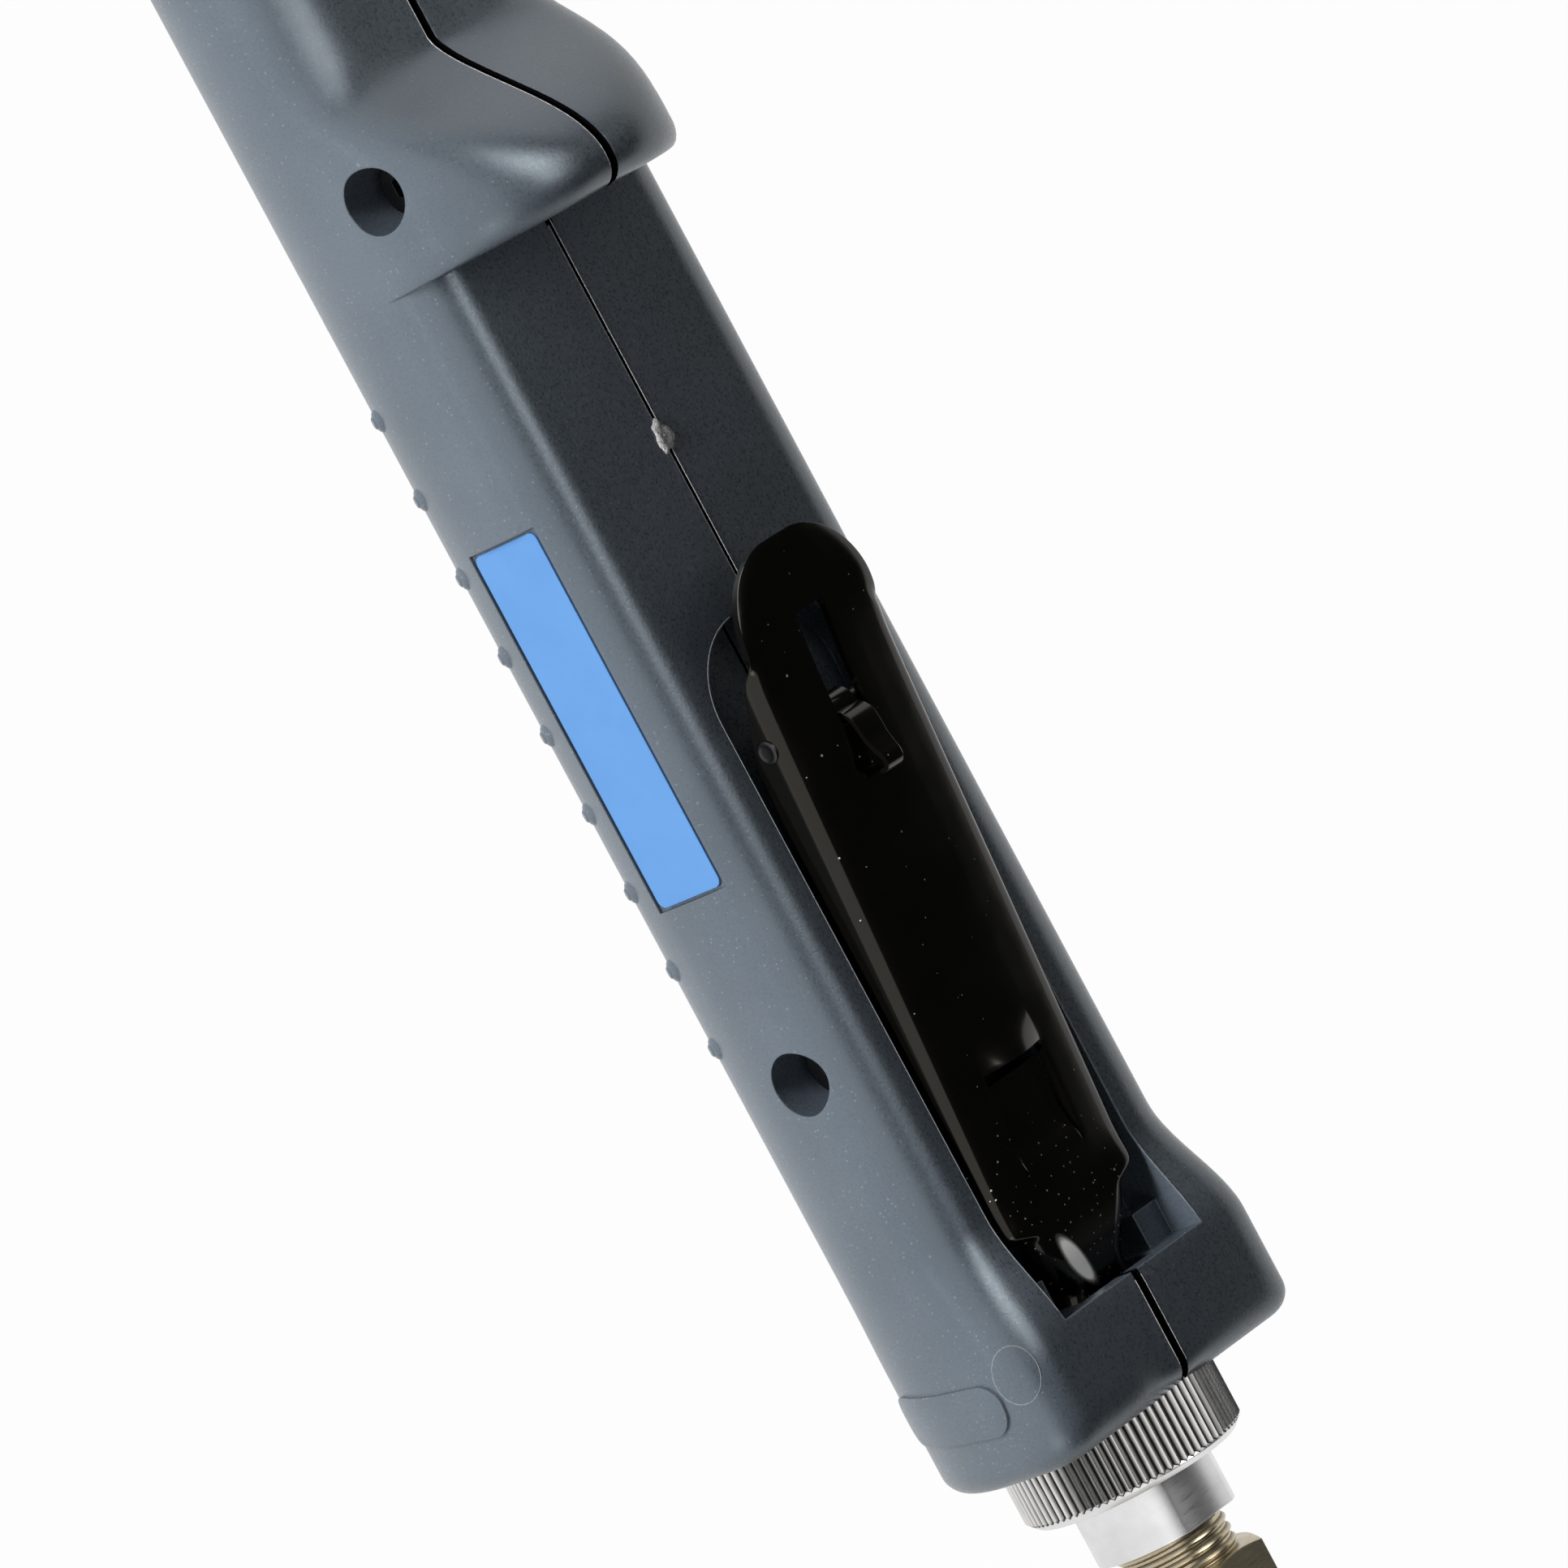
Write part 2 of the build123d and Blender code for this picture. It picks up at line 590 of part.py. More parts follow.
def tail_pad():
    """Bare raised pad that wraps the left side of the tail."""
    outline = fillet(Rectangle(PAD_WIDTH, PAD_LENGTH).vertices(), PAD_CORNER)
    outline = Plane.XZ * Pos(HOUSING_X + PAD_FROM_REAR, PAD_CENTRE_Z) * Rot(0, 0, PAD_TILT) * outline
    prism = extrude(outline, -2 * TAIL_HALF_WIDTH)
    reach = PAD_FROM_REAR + PAD_WIDTH
    skin = extrude(housing_section(HOUSING_X, TAIL_SIZES, -PAD_RAISE), reach)
    core = extrude(housing_section(HOUSING_X, TAIL_SIZES, 2 * PAD_RAISE), reach)
    return (prism & skin) - core


def housing_halves():
    form = outer_form()
    seam = block(HOUSING_X, HOUSING_END, -SEAM_HALF_GAP, SEAM_HALF_GAP, -FAR, FAR)
    body = housing_inside(form) - housing_cuts() - (seam - outer_form(SEAM_DEPTH))
    left = body & block(-FAR, FAR, 0, FAR, -FAR, FAR)
    right = body & block(-FAR, FAR, -FAR, 0, -FAR, FAR)
    nubs = grip_nubs()
    left = left + nubs + [tail_pad()]
    right = right + [mirror(nub, Plane.XZ) for nub in nubs]
    return left, right


# Lever, latch and their pins

def strip(path, thickness):
    """Corners of a bent strip of even thickness whose middle follows the path."""
    upper, lower = [], []
    for index, point in enumerate(path):
        here = Vector(*point)
        before = here - Vector(*path[index - 1]) if index > 0 else None
        after = Vector(*path[index + 1]) - here if index < len(path) - 1 else None
        first = (before or after).normalized()
        second = (after or before).normalized()
        middle = (first + second).normalized()
        reach = thickness / 2 / middle.dot(first)
        side = Vector(-middle.Y, middle.X) * reach
        upper.append(here + side)
        lower.append(here - side)
    return upper + lower[::-1]


def upright_sheet(corners, width, y=0.0):
    """Solid whose outline in X and Z runs through the corners, width wide about y."""
    face = Plane.XZ * make_face(Polyline(*corners, close=True))
    return Pos(0, y, 0) * extrude(face, width / 2, both=True)


def on_lever(solid):
    """Turn and move a solid drawn along the lever, pivot at the origin, to its place at rest."""
    return Pos(PIVOT_X, 0, PIVOT_Z) * Rot(0, -LEVER_SLOPE, 0) * solid


def lever_channel(u0, u1):
    """Folded channel with short flanges that taper off at the head and the tongue."""
    half = LEVER_WIDTH / 2
    deep = LEVER_RISE - 3 * LEVER_WIDTH
    outside = section(u0, half, LEVER_RISE, deep, LEVER_BEND, LEVER_BEND)
    inner_bend = LEVER_BEND - SHEET
    inside = section(u0, half - SHEET, LEVER_RISE - SHEET, deep + SHEET, inner_bend, inner_bend)
    channel = extrude(outside - inside, u1 - u0)
    hem = LEVER_RISE - LEVER_SKIRT
    toe = LEVER_RISE - 2 * SHEET
    below = [(0, hem), (u1 - TOE_SLANT, hem), (u1, toe), (u1 + SHEET, toe), (u1 + SHEET, 2 * deep), (0, 2 * deep)]
    channel -= upright_sheet(below, 2 * LEVER_WIDTH)
    for side in (-1, 1):
        corner = [(u0, side * TONGUE_WIDTH / 2), (u0 + SHOULDER_LENGTH, side * half),
                  (u0 + SHOULDER_LENGTH, side * LEVER_WIDTH), (u0, side * LEVER_WIDTH)]
        channel -= Pos(0, 0, 2 * deep) * extrude(make_face(Polyline(*corner, close=True)), -4 * deep)
    return channel


def throttle_lever():
    middle = LEVER_RISE - SHEET / 2
    eye_middle = EYE_RADIUS - SHEET / 2
    channel_u = TONGUE_LENGTH + SHOULDER_LENGTH
    head_u = LEVER_LENGTH - LEVER_HEAD_LENGTH
    top = from_above(LEVER_RISE)

    lever = lever_channel(channel_u, head_u)
    tongue_path = [(0, eye_middle), (TONGUE_FLAT, eye_middle), (TONGUE_LENGTH, middle),
                   (channel_u + SHEET, middle)]
    lever += upright_sheet(strip(tongue_path, SHEET), TONGUE_WIDTH)
    head = Pos((head_u - SHEET + LEVER_LENGTH) / 2, 0) * Rectangle(LEVER_HEAD_LENGTH + SHEET, 2 * LEVER_HEAD_HALF)
    head = fillet(head.vertices().group_by(Axis.X)[-1], LEVER_HEAD_CORNER)
    lever += extrude(top * head, -SHEET)
    eye = rod_y(0, 0, -TONGUE_WIDTH / 2, TONGUE_WIDTH / 2, EYE_RADIUS)
    lever += eye

    window = Pos(LEVER_LENGTH - WINDOW_FROM_TIP - WINDOW_LENGTH / 2, 0) * Rectangle(WINDOW_LENGTH, WINDOW_WIDTH)
    window = fillet(window.vertices(), WINDOW_CORNER)
    lever -= extrude(top * window, -2 * SHEET)

    pad_u = VALVE_FROM_PIVOT / cos(radians(LEVER_SLOPE))
    half_pad = PAD_PRESS_LENGTH / 2
    low = middle - PAD_PRESS_DROP
    lever -= block(pad_u - half_pad, pad_u + half_pad, -PAD_PRESS_WIDTH / 2 - RUN, PAD_PRESS_WIDTH / 2 + RUN,
                   LEVER_RISE - 2 * SHEET, LEVER_RISE + SHEET)
    pad_path = [(pad_u - half_pad - SHEET, middle), (pad_u - half_pad, middle),
                (pad_u - half_pad + PAD_PRESS_RAMP, low), (pad_u + half_pad - PAD_PRESS_RAMP, low),
                (pad_u + half_pad, middle), (pad_u + half_pad + SHEET, middle)]
    lever += upright_sheet(strip(pad_path, SHEET), PAD_PRESS_WIDTH)

    lever -= rod_y(0, 0, -LEVER_WIDTH, LEVER_WIDTH, PIVOT_PIN_RADIUS + RUN)
    lever -= rod_y(LEVER_LENGTH - LATCH_PIN_FROM_TIP, LEVER_RISE - LATCH_PIN_DROP, -LEVER_WIDTH, LEVER_WIDTH,
                   LATCH_PIN_RADIUS + RUN)
    return on_lever(lever)


def lever_pivot_pin():
    return rod_y(PIVOT_X, PIVOT_Z, -PIVOT_PIN_LENGTH / 2, PIVOT_PIN_LENGTH / 2, PIVOT_PIN_RADIUS)


def latch_pin():
    x, z = latch_pin_place()
    reach = LEVER_WIDTH / 2 + LOOSE / 2
    return rod_y(x, z, -reach, reach, LATCH_PIN_RADIUS)


def lock_latch():
    """Bent tab that turns on its pin: thumb tab above the lever, stop foot below it."""
    x, z = latch_pin_place()
    tab_z = z + LATCH_PIN_DROP + LATCH_TAB_RISE + SHEET / 2
    path = [(x, z - LATCH_FOOT), (x, tab_z), (x - LATCH_TAB_FLAT, tab_z), (x - LATCH_TAB, tab_z + SHEET)]
    latch = upright_sheet(strip(path, SHEET), LATCH_WIDTH)
    latch += rod_y(x, z, -LATCH_WIDTH / 2, LATCH_WIDTH / 2, LATCH_PIN_RADIUS + RUN + SHEET)
    return latch - rod_y(x, z, -LATCH_WIDTH, LATCH_WIDTH, LATCH_PIN_RADIUS + RUN)


def coil(radius, wire, turns, length):
    """Coil of square wire that stands on the origin along +Z, length over its ends."""
    rise = length - 2 * wire
    path = Helix(rise / turns, rise, radius)
    start = Plane(path @ 0, z_dir=path % 0)
    return Pos(0, 0, wire) * sweep(start * RegularPolygon(wire, 4), path=path, is_frenet=True)


def latch_spring():
    x, z = latch_pin_place()
    radius = LATCH_PIN_RADIUS + 2 * RUN + LATCH_SPRING_WIRE
    length = LATCH_SPRING_TURNS * 3 * LATCH_SPRING_WIRE
    turns = coil(radius, LATCH_SPRING_WIRE, LATCH_SPRING_TURNS, length)
    return Pos(x, LATCH_WIDTH / 2 + LOOSE, z) * Rot(-90, 0, 0) * turns


# Throttle valve

STEM_TOP = (PIVOT_Z + VALVE_FROM_PIVOT * tan(radians(LEVER_SLOPE)) - STEM_TOP_GAP
            + (LEVER_RISE - PAD_PRESS_DROP - SHEET) / cos(radians(LEVER_SLOPE)))
SEAL_TOP = VALVE_SEAT_Z - 2 * RUN
HEAD_TOP = SEAL_TOP - VALVE_SEAL
HEAD_BOTTOM = HEAD_TOP - STEM_HEAD
SPRING_SEAT = VALVE_PLUG_BOTTOM + PLUG_FLOOR


def valve_bush():
    bush = rod_z(VALVE_X, VALVE_SEAT_Z, VALVE_BUSH_TOP, VALVE_BUSH_RADIUS)
    bush -= rod_z(VALVE_X, VALVE_SEAT_Z, VALVE_BUSH_TOP, STEM_RADIUS + RUN)
    bush -= rod_z(VALVE_X, VALVE_SEAT_Z, TUBE_Z + AIR_PASSAGE, AIR_PASSAGE)
    return bush - rod_x(VALVE_X, VALVE_X + VALVE_BUSH_RADIUS, VALVE_PORT, z=TUBE_Z)


def valve_stem():
    stem = rod_z(VALVE_X, HEAD_BOTTOM, STEM_TOP, STEM_RADIUS)
    return stem + rod_z(VALVE_X, HEAD_BOTTOM, HEAD_TOP, STEM_HEAD_RADIUS)


def valve_seal():
    washer = rod_z(VALVE_X, HEAD_TOP, SEAL_TOP, STEM_HEAD_RADIUS)
    return washer - rod_z(VALVE_X, HEAD_TOP, SEAL_TOP, STEM_RADIUS + RUN)


def valve_plug():
    plug = rod_z(VALVE_X, VALVE_PLUG_BOTTOM, VALVE_PLUG_TOP, VALVE_BUSH_RADIUS)
    return plug - rod_z(VALVE_X, SPRING_SEAT, VALVE_PLUG_TOP, VALVE_SPRING_RADIUS + 2 * VALVE_SPRING_WIRE)


def valve_spring():
    length = HEAD_BOTTOM - SPRING_SEAT - 2 * RUN
    turns = coil(VALVE_SPRING_RADIUS, VALVE_SPRING_WIRE, VALVE_SPRING_TURNS, length)
    return Pos(VALVE_X, 0, SPRING_SEAT + RUN) * turns


# Air inlet

def inlet_body():
    body = rod_x(SPIGOT_X, INLET_X, SPIGOT_RADIUS) + inlet_blank(INLET_X, INLET_END)
    screen_end = SPIGOT_X + BUSHING_SHANK + SCREEN_THICKNESS + RUN
    return body - [
        rod_x(SPIGOT_X, screen_end, BUSHING_SHANK_RADIUS + RUN),
        rod_x(screen_end, VALVE_X, SUPPLY_RADIUS, z=SUPPLY_Z),
        rod_x(VALVE_X, INLET_END, AIR_PASSAGE, z=TUBE_Z),
        rod_x(INLET_END - TUBE_SOCKET, INLET_END, TUBE_RADIUS + RUN, z=TUBE_Z),
        rod_z(VALVE_X, INLET_AXIS_Z - INLET_RADIUS, INLET_TOP, VALVE_BUSH_RADIUS + RUN),
        rod_y(REAR_SCREW_X, REAR_SCREW_Z, -INLET_RADIUS, INLET_RADIUS, SCREW_RADIUS + 4 * RUN),
    ]


def inlet_bushing():
    head = rod_x(BUSHING_X, SPIGOT_X, BUSHING_RADIUS)
    half = BUSHING_FLATS / 2
    flats = Rot(BUSHING_TURN, 0, 0) * block(BUSHING_X, SPIGOT_X, -FAR, FAR, -half, half)
    bushing = (head & flats) + rod_x(SPIGOT_X, SPIGOT_X + BUSHING_SHANK, BUSHING_SHANK_RADIUS)
    bushing -= rod_x(BUSHING_X, BUSHING_X + THREAD_ENGAGED + LOOSE, PIPE_THREAD_RADIUS + RUN)
    return bushing - rod_x(BUSHING_X, SPIGOT_X + BUSHING_SHANK, BUSHING_BORE)


def inlet_screen():
    """Perforated disc at the end of the bushing."""
    x0 = SPIGOT_X + BUSHING_SHANK
    screen = rod_x(x0, x0 + SCREEN_THICKNESS, BUSHING_SHANK_RADIUS)
    hole = SCREEN_HOLE_RADIUS
    for index in range(SCREEN_HOLES):
        turn = 2 * pi * index / SCREEN_HOLES
        screen -= rod_x(x0, x0 + SCREEN_THICKNESS, hole, y=SCREEN_RING * cos(turn), z=SCREEN_RING * sin(turn))
    return screen


def hexagon_x(x0, x1, across_flats):
    """Hexagon bar along X with its corners turned off at both ends."""
    corner = across_flats / sqrt(3)
    bevel = corner - across_flats / 2
    hexagon = extrude(across(x0) * RegularPolygon(across_flats / 2, 6, major_radius=False), x1 - x0)
    low = across_flats / 2 - RUN
    barrel = turned([(x0, 0), (x0, low), (x0 + bevel / 2, corner), (x1 - bevel / 2, corner), (x1, low), (x1, 0)])
    return hexagon & barrel


def hose_nipple():
    bulb_x = PROBE_LENGTH + BULB_RADIUS - PROBE_RADIUS
    neck_x = bulb_x + BULB_LENGTH
    thread_x = NIPPLE_HEX_X + NIPPLE_HEX_LENGTH
    thread_end = thread_x + THREAD_SHOWN + THREAD_ENGAGED
    nipple = turned([
        (-TIP_CHAMFER, 0), (-TIP_CHAMFER, PROBE_RADIUS - TIP_CHAMFER / 2), (0, PROBE_RADIUS),
        (PROBE_LENGTH, PROBE_RADIUS), (bulb_x, BULB_RADIUS), (neck_x, BULB_RADIUS),
        (neck_x + BULB_RADIUS - NECK_RADIUS, NECK_RADIUS), (NIPPLE_HEX_X, NECK_RADIUS), (NIPPLE_HEX_X, 0),
    ])
    nipple += hexagon_x(NIPPLE_HEX_X, thread_x, NIPPLE_HEX)
    nipple += rod_x(thread_x, thread_end, PIPE_THREAD_RADIUS)
    return nipple - rod_x(-TIP_CHAMFER, thread_end, NIPPLE_BORE)


# Exhaust collar

def knurl(x, radius):
    """Outline of the straight knurl across the tool at X = x."""
    outline = []
    for index in range(2 * KNURL_COUNT):
        turn = pi * index / KNURL_COUNT
        reach = radius - KNURL_DEPTH * (index % 2)
        outline.append((reach * cos(turn), reach * sin(turn)))
    return across(x) * make_face(Polyline(*outline, close=True))


def exhaust_deflector():
    """Knurled collar that turns on the spigot and lets the exhaust out at its rear."""
    bevel_end = COLLAR_X + COLLAR_CHAMFER
    collar = loft([knurl(COLLAR_X, COLLAR_RADIUS - COLLAR_CHAMFER), knurl(bevel_end, COLLAR_RADIUS)], ruled=True)
    collar += extrude(knurl(bevel_end, COLLAR_RADIUS), COLLAR_END - bevel_end)
    collar -= rod_x(COLLAR_X, COLLAR_END, SPIGOT_RADIUS + RUN)
    collar -= ring_x(FELT_X - RUN, COLLAR_END, FELT_INNER - RUN, FELT_OUTER + RUN)
    groove_half = SEAL_HALF_WIDTH + RUN
    collar -= rod_x(SEAL_X - groove_half, SEAL_X + groove_half, SPIGOT_RADIUS + SEAL_HEIGHT + 2 * RUN)
    for index in range(EXHAUST_HOLES):
        turn = 2 * pi * (index + 0.5) / EXHAUST_HOLES
        y = EXHAUST_RING * cos(turn)
        z = EXHAUST_RING * sin(turn)
        collar -= rod_x(COLLAR_X, FELT_X, EXHAUST_HOLE_RADIUS, y=y, z=z)
    return collar


def exhaust_felt():
    return ring_x(FELT_X, FELT_X + FELT_LENGTH, FELT_INNER, FELT_OUTER)


def collar_seal():
    """Square ring in the collar's groove that drags lightly on the spigot."""
    inner = SPIGOT_RADIUS + RUN
    return ring_x(SEAL_X - SEAL_HALF_WIDTH, SEAL_X + SEAL_HALF_WIDTH, inner, SPIGOT_RADIUS + SEAL_HEIGHT)


# Air motor

def air_tube():
    return ring_x(INLET_END - TUBE_SOCKET + RUN, MOTOR_X + TUBE_SOCKET - RUN, AIR_PASSAGE, TUBE_RADIUS, z=TUBE_Z)


def rear_cap():
    cap = rod_x(MOTOR_X, CHEST_X, MOTOR_RADIUS, z=MOTOR_Z)
    cap -= rod_x(MOTOR_X, MOTOR_X + TUBE_SOCKET, TUBE_RADIUS + RUN, z=TUBE_Z)
    return cap - rod_x(MOTOR_X, CHEST_X, AIR_PASSAGE, z=TUBE_Z)


def valve_chest():
    chest = rod_x(CHEST_X, CYLINDER_X, MOTOR_RADIUS, z=MOTOR_Z)
    chest -= rod_x(CHEST_X + CHEST_PLATE, CYLINDER_X, MOTOR_BORE, z=MOTOR_Z)
    return chest - rod_x(CHEST_X, CYLINDER_X, AIR_PASSAGE, z=TUBE_Z)


def flapper_valve():
    x0 = CHEST_X + CHEST_PLATE + LOOSE
    return rod_x(x0, x0 + FLAPPER, MOTOR_BORE - RUN, z=MOTOR_Z)


def port_plate():
    plate = rod_x(CYLINDER_X - CHEST_PLATE, CYLINDER_X, MOTOR_BORE - RUN, z=MOTOR_Z)
    for side in (-1, 1):
        plate -= rod_x(CYLINDER_X - CHEST_PLATE, CYLINDER_X, PLATE_PORT, y=side * MOTOR_BORE / 2, z=MOTOR_Z)
    return plate


def cylinder():
    barrel = ring_x(CYLINDER_X, FRONT_BUSH_X, MOTOR_BORE, MOTOR_RADIUS, z=MOTOR_Z)
    ports_x = PISTON_X + PISTON_LENGTH + STROKE / 2
    for side in (-1, 1):
        port = rod_y(ports_x, MOTOR_Z, MOTOR_BORE / 2, MOTOR_RADIUS, AIR_PASSAGE)
        barrel -= port if side > 0 else mirror(port, Plane.XZ)
    return barrel


def piston_ring_x():
    return PISTON_X + PISTON_LENGTH - 2 * PISTON_RING


def piston_rod():
    """Piston and its rod in one piece, drawn at the rear end of the stroke."""
    piston = rod_x(PISTON_X, PISTON_X + PISTON_LENGTH, MOTOR_BORE - RUN, z=MOTOR_Z)
    piston += rod_x(PISTON_X, HOLDER_X + ROD_IN_HOLDER, ROD_RADIUS, z=MOTOR_Z)
    x0 = piston_ring_x()
    groove = ring_x(x0 - RUN, x0 + PISTON_RING + RUN, MOTOR_BORE - RUN - PISTON_RING_DEPTH, MOTOR_RADIUS, z=MOTOR_Z)
    return piston - groove


def piston_ring():
    x0 = piston_ring_x()
    return ring_x(x0, x0 + PISTON_RING, MOTOR_BORE - PISTON_RING_DEPTH, MOTOR_BORE - RUN, z=MOTOR_Z)


def front_bumper():
    return ring_x(FRONT_BUSH_X - BUMPER, FRONT_BUSH_X, ROD_RADIUS + LOOSE, MOTOR_BORE - RUN, z=MOTOR_Z)


def front_bush():
    bush = ring_x(FRONT_BUSH_X, NOSE_X, ROD_RADIUS + RUN, MOTOR_RADIUS, z=MOTOR_Z)
    return bush - rod_x(NOSE_X - ROD_SEAL, NOSE_X, ROD_SEAL_RADIUS + RUN, z=MOTOR_Z)


def rod_seal():
    return ring_x(NOSE_X - ROD_SEAL, NOSE_X, ROD_RADIUS + 2 * RUN, ROD_SEAL_RADIUS, z=MOTOR_Z)


# Nose, blade and guard

def both_sides(solid):
    """A piece and its twin on the other side of the tool."""
    return Compound(children=[solid, mirror(solid, Plane.XZ)])


def nose_cap():
    nose = rod_x(NOSE_X, NOSE_BLOCK_X, MOTOR_RADIUS, z=MOTOR_Z)
    groove_x = NOSE_X + NOSE_GROOVE_X
    nose -= ring_x(groove_x - RUN, groove_x + RIB + RUN, MOTOR_RADIUS - NOSE_GROOVE, 2 * MOTOR_RADIUS, z=MOTOR_Z)
    nose_block = extrude(nose_section(NOSE_BLOCK_X), NOSE_BLOCK_LENGTH)
    nose_block = chamfer(nose_block.faces().sort_by(Axis.X)[-1].edges(), NOSE_EDGE)
    nose += nose_block
    nose -= rod_x(NOSE_X, NOSE_END, ROD_RADIUS + LOOSE, z=MOTOR_Z)
    nose -= rod_x(NOSE_BORE_X, NOSE_END, NOSE_BORE, z=MOTOR_Z)
    for side in (-1, 1):
        hole = rod_y(GUARD_SCREW_X, MOTOR_Z, guard_screw_start(), NOSE_HALF_WIDTH, GUARD_SCREW_RADIUS + RUN)
        nose -= hole if side > 0 else mirror(hole, Plane.XZ)
    return nose


def blade_holder():
    holder = rod_x(HOLDER_X, HOLDER_END, HOLDER_RADIUS, z=MOTOR_Z)
    holder = chamfer(holder.faces().sort_by(Axis.X)[-1].edges(), HOLDER_CHAMFER)
    holder -= rod_x(HOLDER_X, HOLDER_X + ROD_IN_HOLDER, ROD_RADIUS + RUN, z=MOTOR_Z)
    slot_x = BLADE_X - BLADE_SLOT_SPARE
    half = BLADE_THICKNESS / 2 + RUN
    holder -= block(slot_x, HOLDER_END, -half, half, MOTOR_Z - HOLDER_RADIUS, MOTOR_Z + HOLDER_RADIUS)
    for x in blade_screw_stations():
        holder -= rod_y(x, MOTOR_Z, 0, HOLDER_RADIUS, BLADE_SCREW_RADIUS + RUN)
    return holder


def blade_screw_stations():
    first = HOLDER_END - BLADE_SCREW_PITCH / 2 - HOLDER_CHAMFER
    return (first, first - BLADE_SCREW_PITCH)


def socket_y(x, z, y_mouth, depth, across_flats):
    """Hexagon socket that opens towards +Y."""
    plane = Plane((x, y_mouth, z), x_dir=(1, 0, 0), z_dir=(0, -1, 0))
    return extrude(plane * RegularPolygon(across_flats / 2, 6, major_radius=False), depth)


def blade_screws():
    screws = []
    y0 = BLADE_THICKNESS / 2 + RUN
    y1 = HOLDER_RADIUS - BLADE_SCREW_SUNK
    for x in blade_screw_stations():
        screw = rod_y(x, MOTOR_Z, y0, y1, BLADE_SCREW_RADIUS)
        screws.append(screw - socket_y(x, MOTOR_Z, y1, BLADE_SCREW_RADIUS, BLADE_SCREW_RADIUS))
    return Compound(children=screws)


def saw_blade():
    """Flat blade, teeth along its lower edge ahead of the holder and a raked tip."""
    top = MOTOR_Z + BLADE_HEIGHT / 2
    bottom = MOTOR_Z - BLADE_HEIGHT / 2
    tip = BLADE_X + BLADE_LENGTH
    teeth_x = HOLDER_END + STROKE / 2
    teeth_end = tip - BLADE_TIP_RAKE
    count = int((teeth_end - teeth_x) / TOOTH_PITCH)
    outline = [(BLADE_X, top), (BLADE_X, bottom), (teeth_x, bottom)]
    for index in range(count):
        x = teeth_x + index * TOOTH_PITCH
        outline.append((x + TOOTH_PITCH / 2, bottom + TOOTH_DEPTH))
        outline.append((x + TOOTH_PITCH, bottom))
    outline += [(tip, bottom + BLADE_TIP_RISE), (tip, top)]
    return upright_sheet(outline, BLADE_THICKNESS)


def guard_screw_start():
    return NOSE_BORE + LOOSE


def blade_guard():
    """Two arms along the nose, joined by an upright shoe with a notch for the blade."""
    inner = NOSE_HALF_WIDTH + 2 * RUN
    half_arm = GUARD_ARM_HEIGHT / 2
    half_slot = GUARD_SCREW_RADIUS + 4 * RUN
    slot_length = 2 * (GUARD_TRAVEL + half_slot)
    arm_face = make_face(Polyline(
        (GUARD_X, MOTOR_Z - half_arm), (GUARD_END - GUARD_SHEET, MOTOR_Z - half_arm - GUARD_FLARE),
        (GUARD_END - GUARD_SHEET, MOTOR_Z + half_arm + GUARD_FLARE), (GUARD_X, MOTOR_Z + half_arm), close=True))
    arm_face = fillet(arm_face.vertices().group_by(Axis.X)[0], SHOE_CORNER)
    arm_face -= Pos(GUARD_SCREW_X, MOTOR_Z) * SlotOverall(slot_length, 2 * half_slot)
    arm = extrude(Plane((0, inner, 0), x_dir=(1, 0, 0), z_dir=(0, -1, 0)) * arm_face, -GUARD_SHEET)

    height = SHOE_TOP - SHOE_BOTTOM
    shoe_face = Pos(0, (SHOE_TOP + SHOE_BOTTOM) / 2) * RectangleRounded(2 * SHOE_HALF_WIDTH, height, SHOE_CORNER)
    notch_height = BLADE_NOTCH_TOP - SHOE_BOTTOM
    notch = Pos(0, SHOE_BOTTOM) * SlotOverall(2 * notch_height, BLADE_NOTCH, rotation=90)
    shoe = extrude(across(GUARD_END - GUARD_SHEET) * (shoe_face - notch), GUARD_SHEET)
    return shoe + [arm, mirror(arm, Plane.XZ)]


GUARD_OUTER = NOSE_HALF_WIDTH + 2 * RUN + GUARD_SHEET
WASHER_Y = GUARD_OUTER + RUN


def guard_washers():
    washer = rod_y(GUARD_SCREW_X, MOTOR_Z, WASHER_Y, WASHER_Y + WASHER, WASHER_RADIUS)
    washer -= rod_y(GUARD_SCREW_X, MOTOR_Z, WASHER_Y, WASHER_Y + WASHER, GUARD_SCREW_RADIUS + RUN)
    return both_sides(washer)


def guard_screws():
    head_y = WASHER_Y + WASHER
    screw = rod_y(GUARD_SCREW_X, MOTOR_Z, guard_screw_start(), head_y, GUARD_SCREW_RADIUS)
    head = rod_y(GUARD_SCREW_X, MOTOR_Z, head_y, head_y + GUARD_SCREW_HEIGHT, GUARD_SCREW_HEAD)
    head = chamfer(head.faces().sort_by(Axis.Y)[-1].edges(), GUARD_SCREW_CHAMFER)
    head -= socket_y(GUARD_SCREW_X, MOTOR_Z, head_y + GUARD_SCREW_HEIGHT, GUARD_SOCKET_DEPTH, GUARD_SOCKET)
    return both_sides(screw + head)


# Housing screws and label

def housing_screws():
    screws = []
    for x, z in screw_places():
        head_y = SCREW_SEAT_Y + SCREW_HEAD
        screw = rod_y(x, z, -SCREW_DEPTH, SCREW_SEAT_Y, SCREW_RADIUS)
        screw += rod_y(x, z, SCREW_SEAT_Y, head_y, SCREW_HEAD_RADIUS)
        screws.append(screw - socket_y(x, z, head_y, SCREW_SOCKET_DEPTH, SCREW_SOCKET))
    return Compound(children=screws)


def label_plate():
    return label_form(0.0, LABEL_PLANE_Y, LABEL_PLANE_Y + LABEL_THICKNESS)


# Write one file for each piece

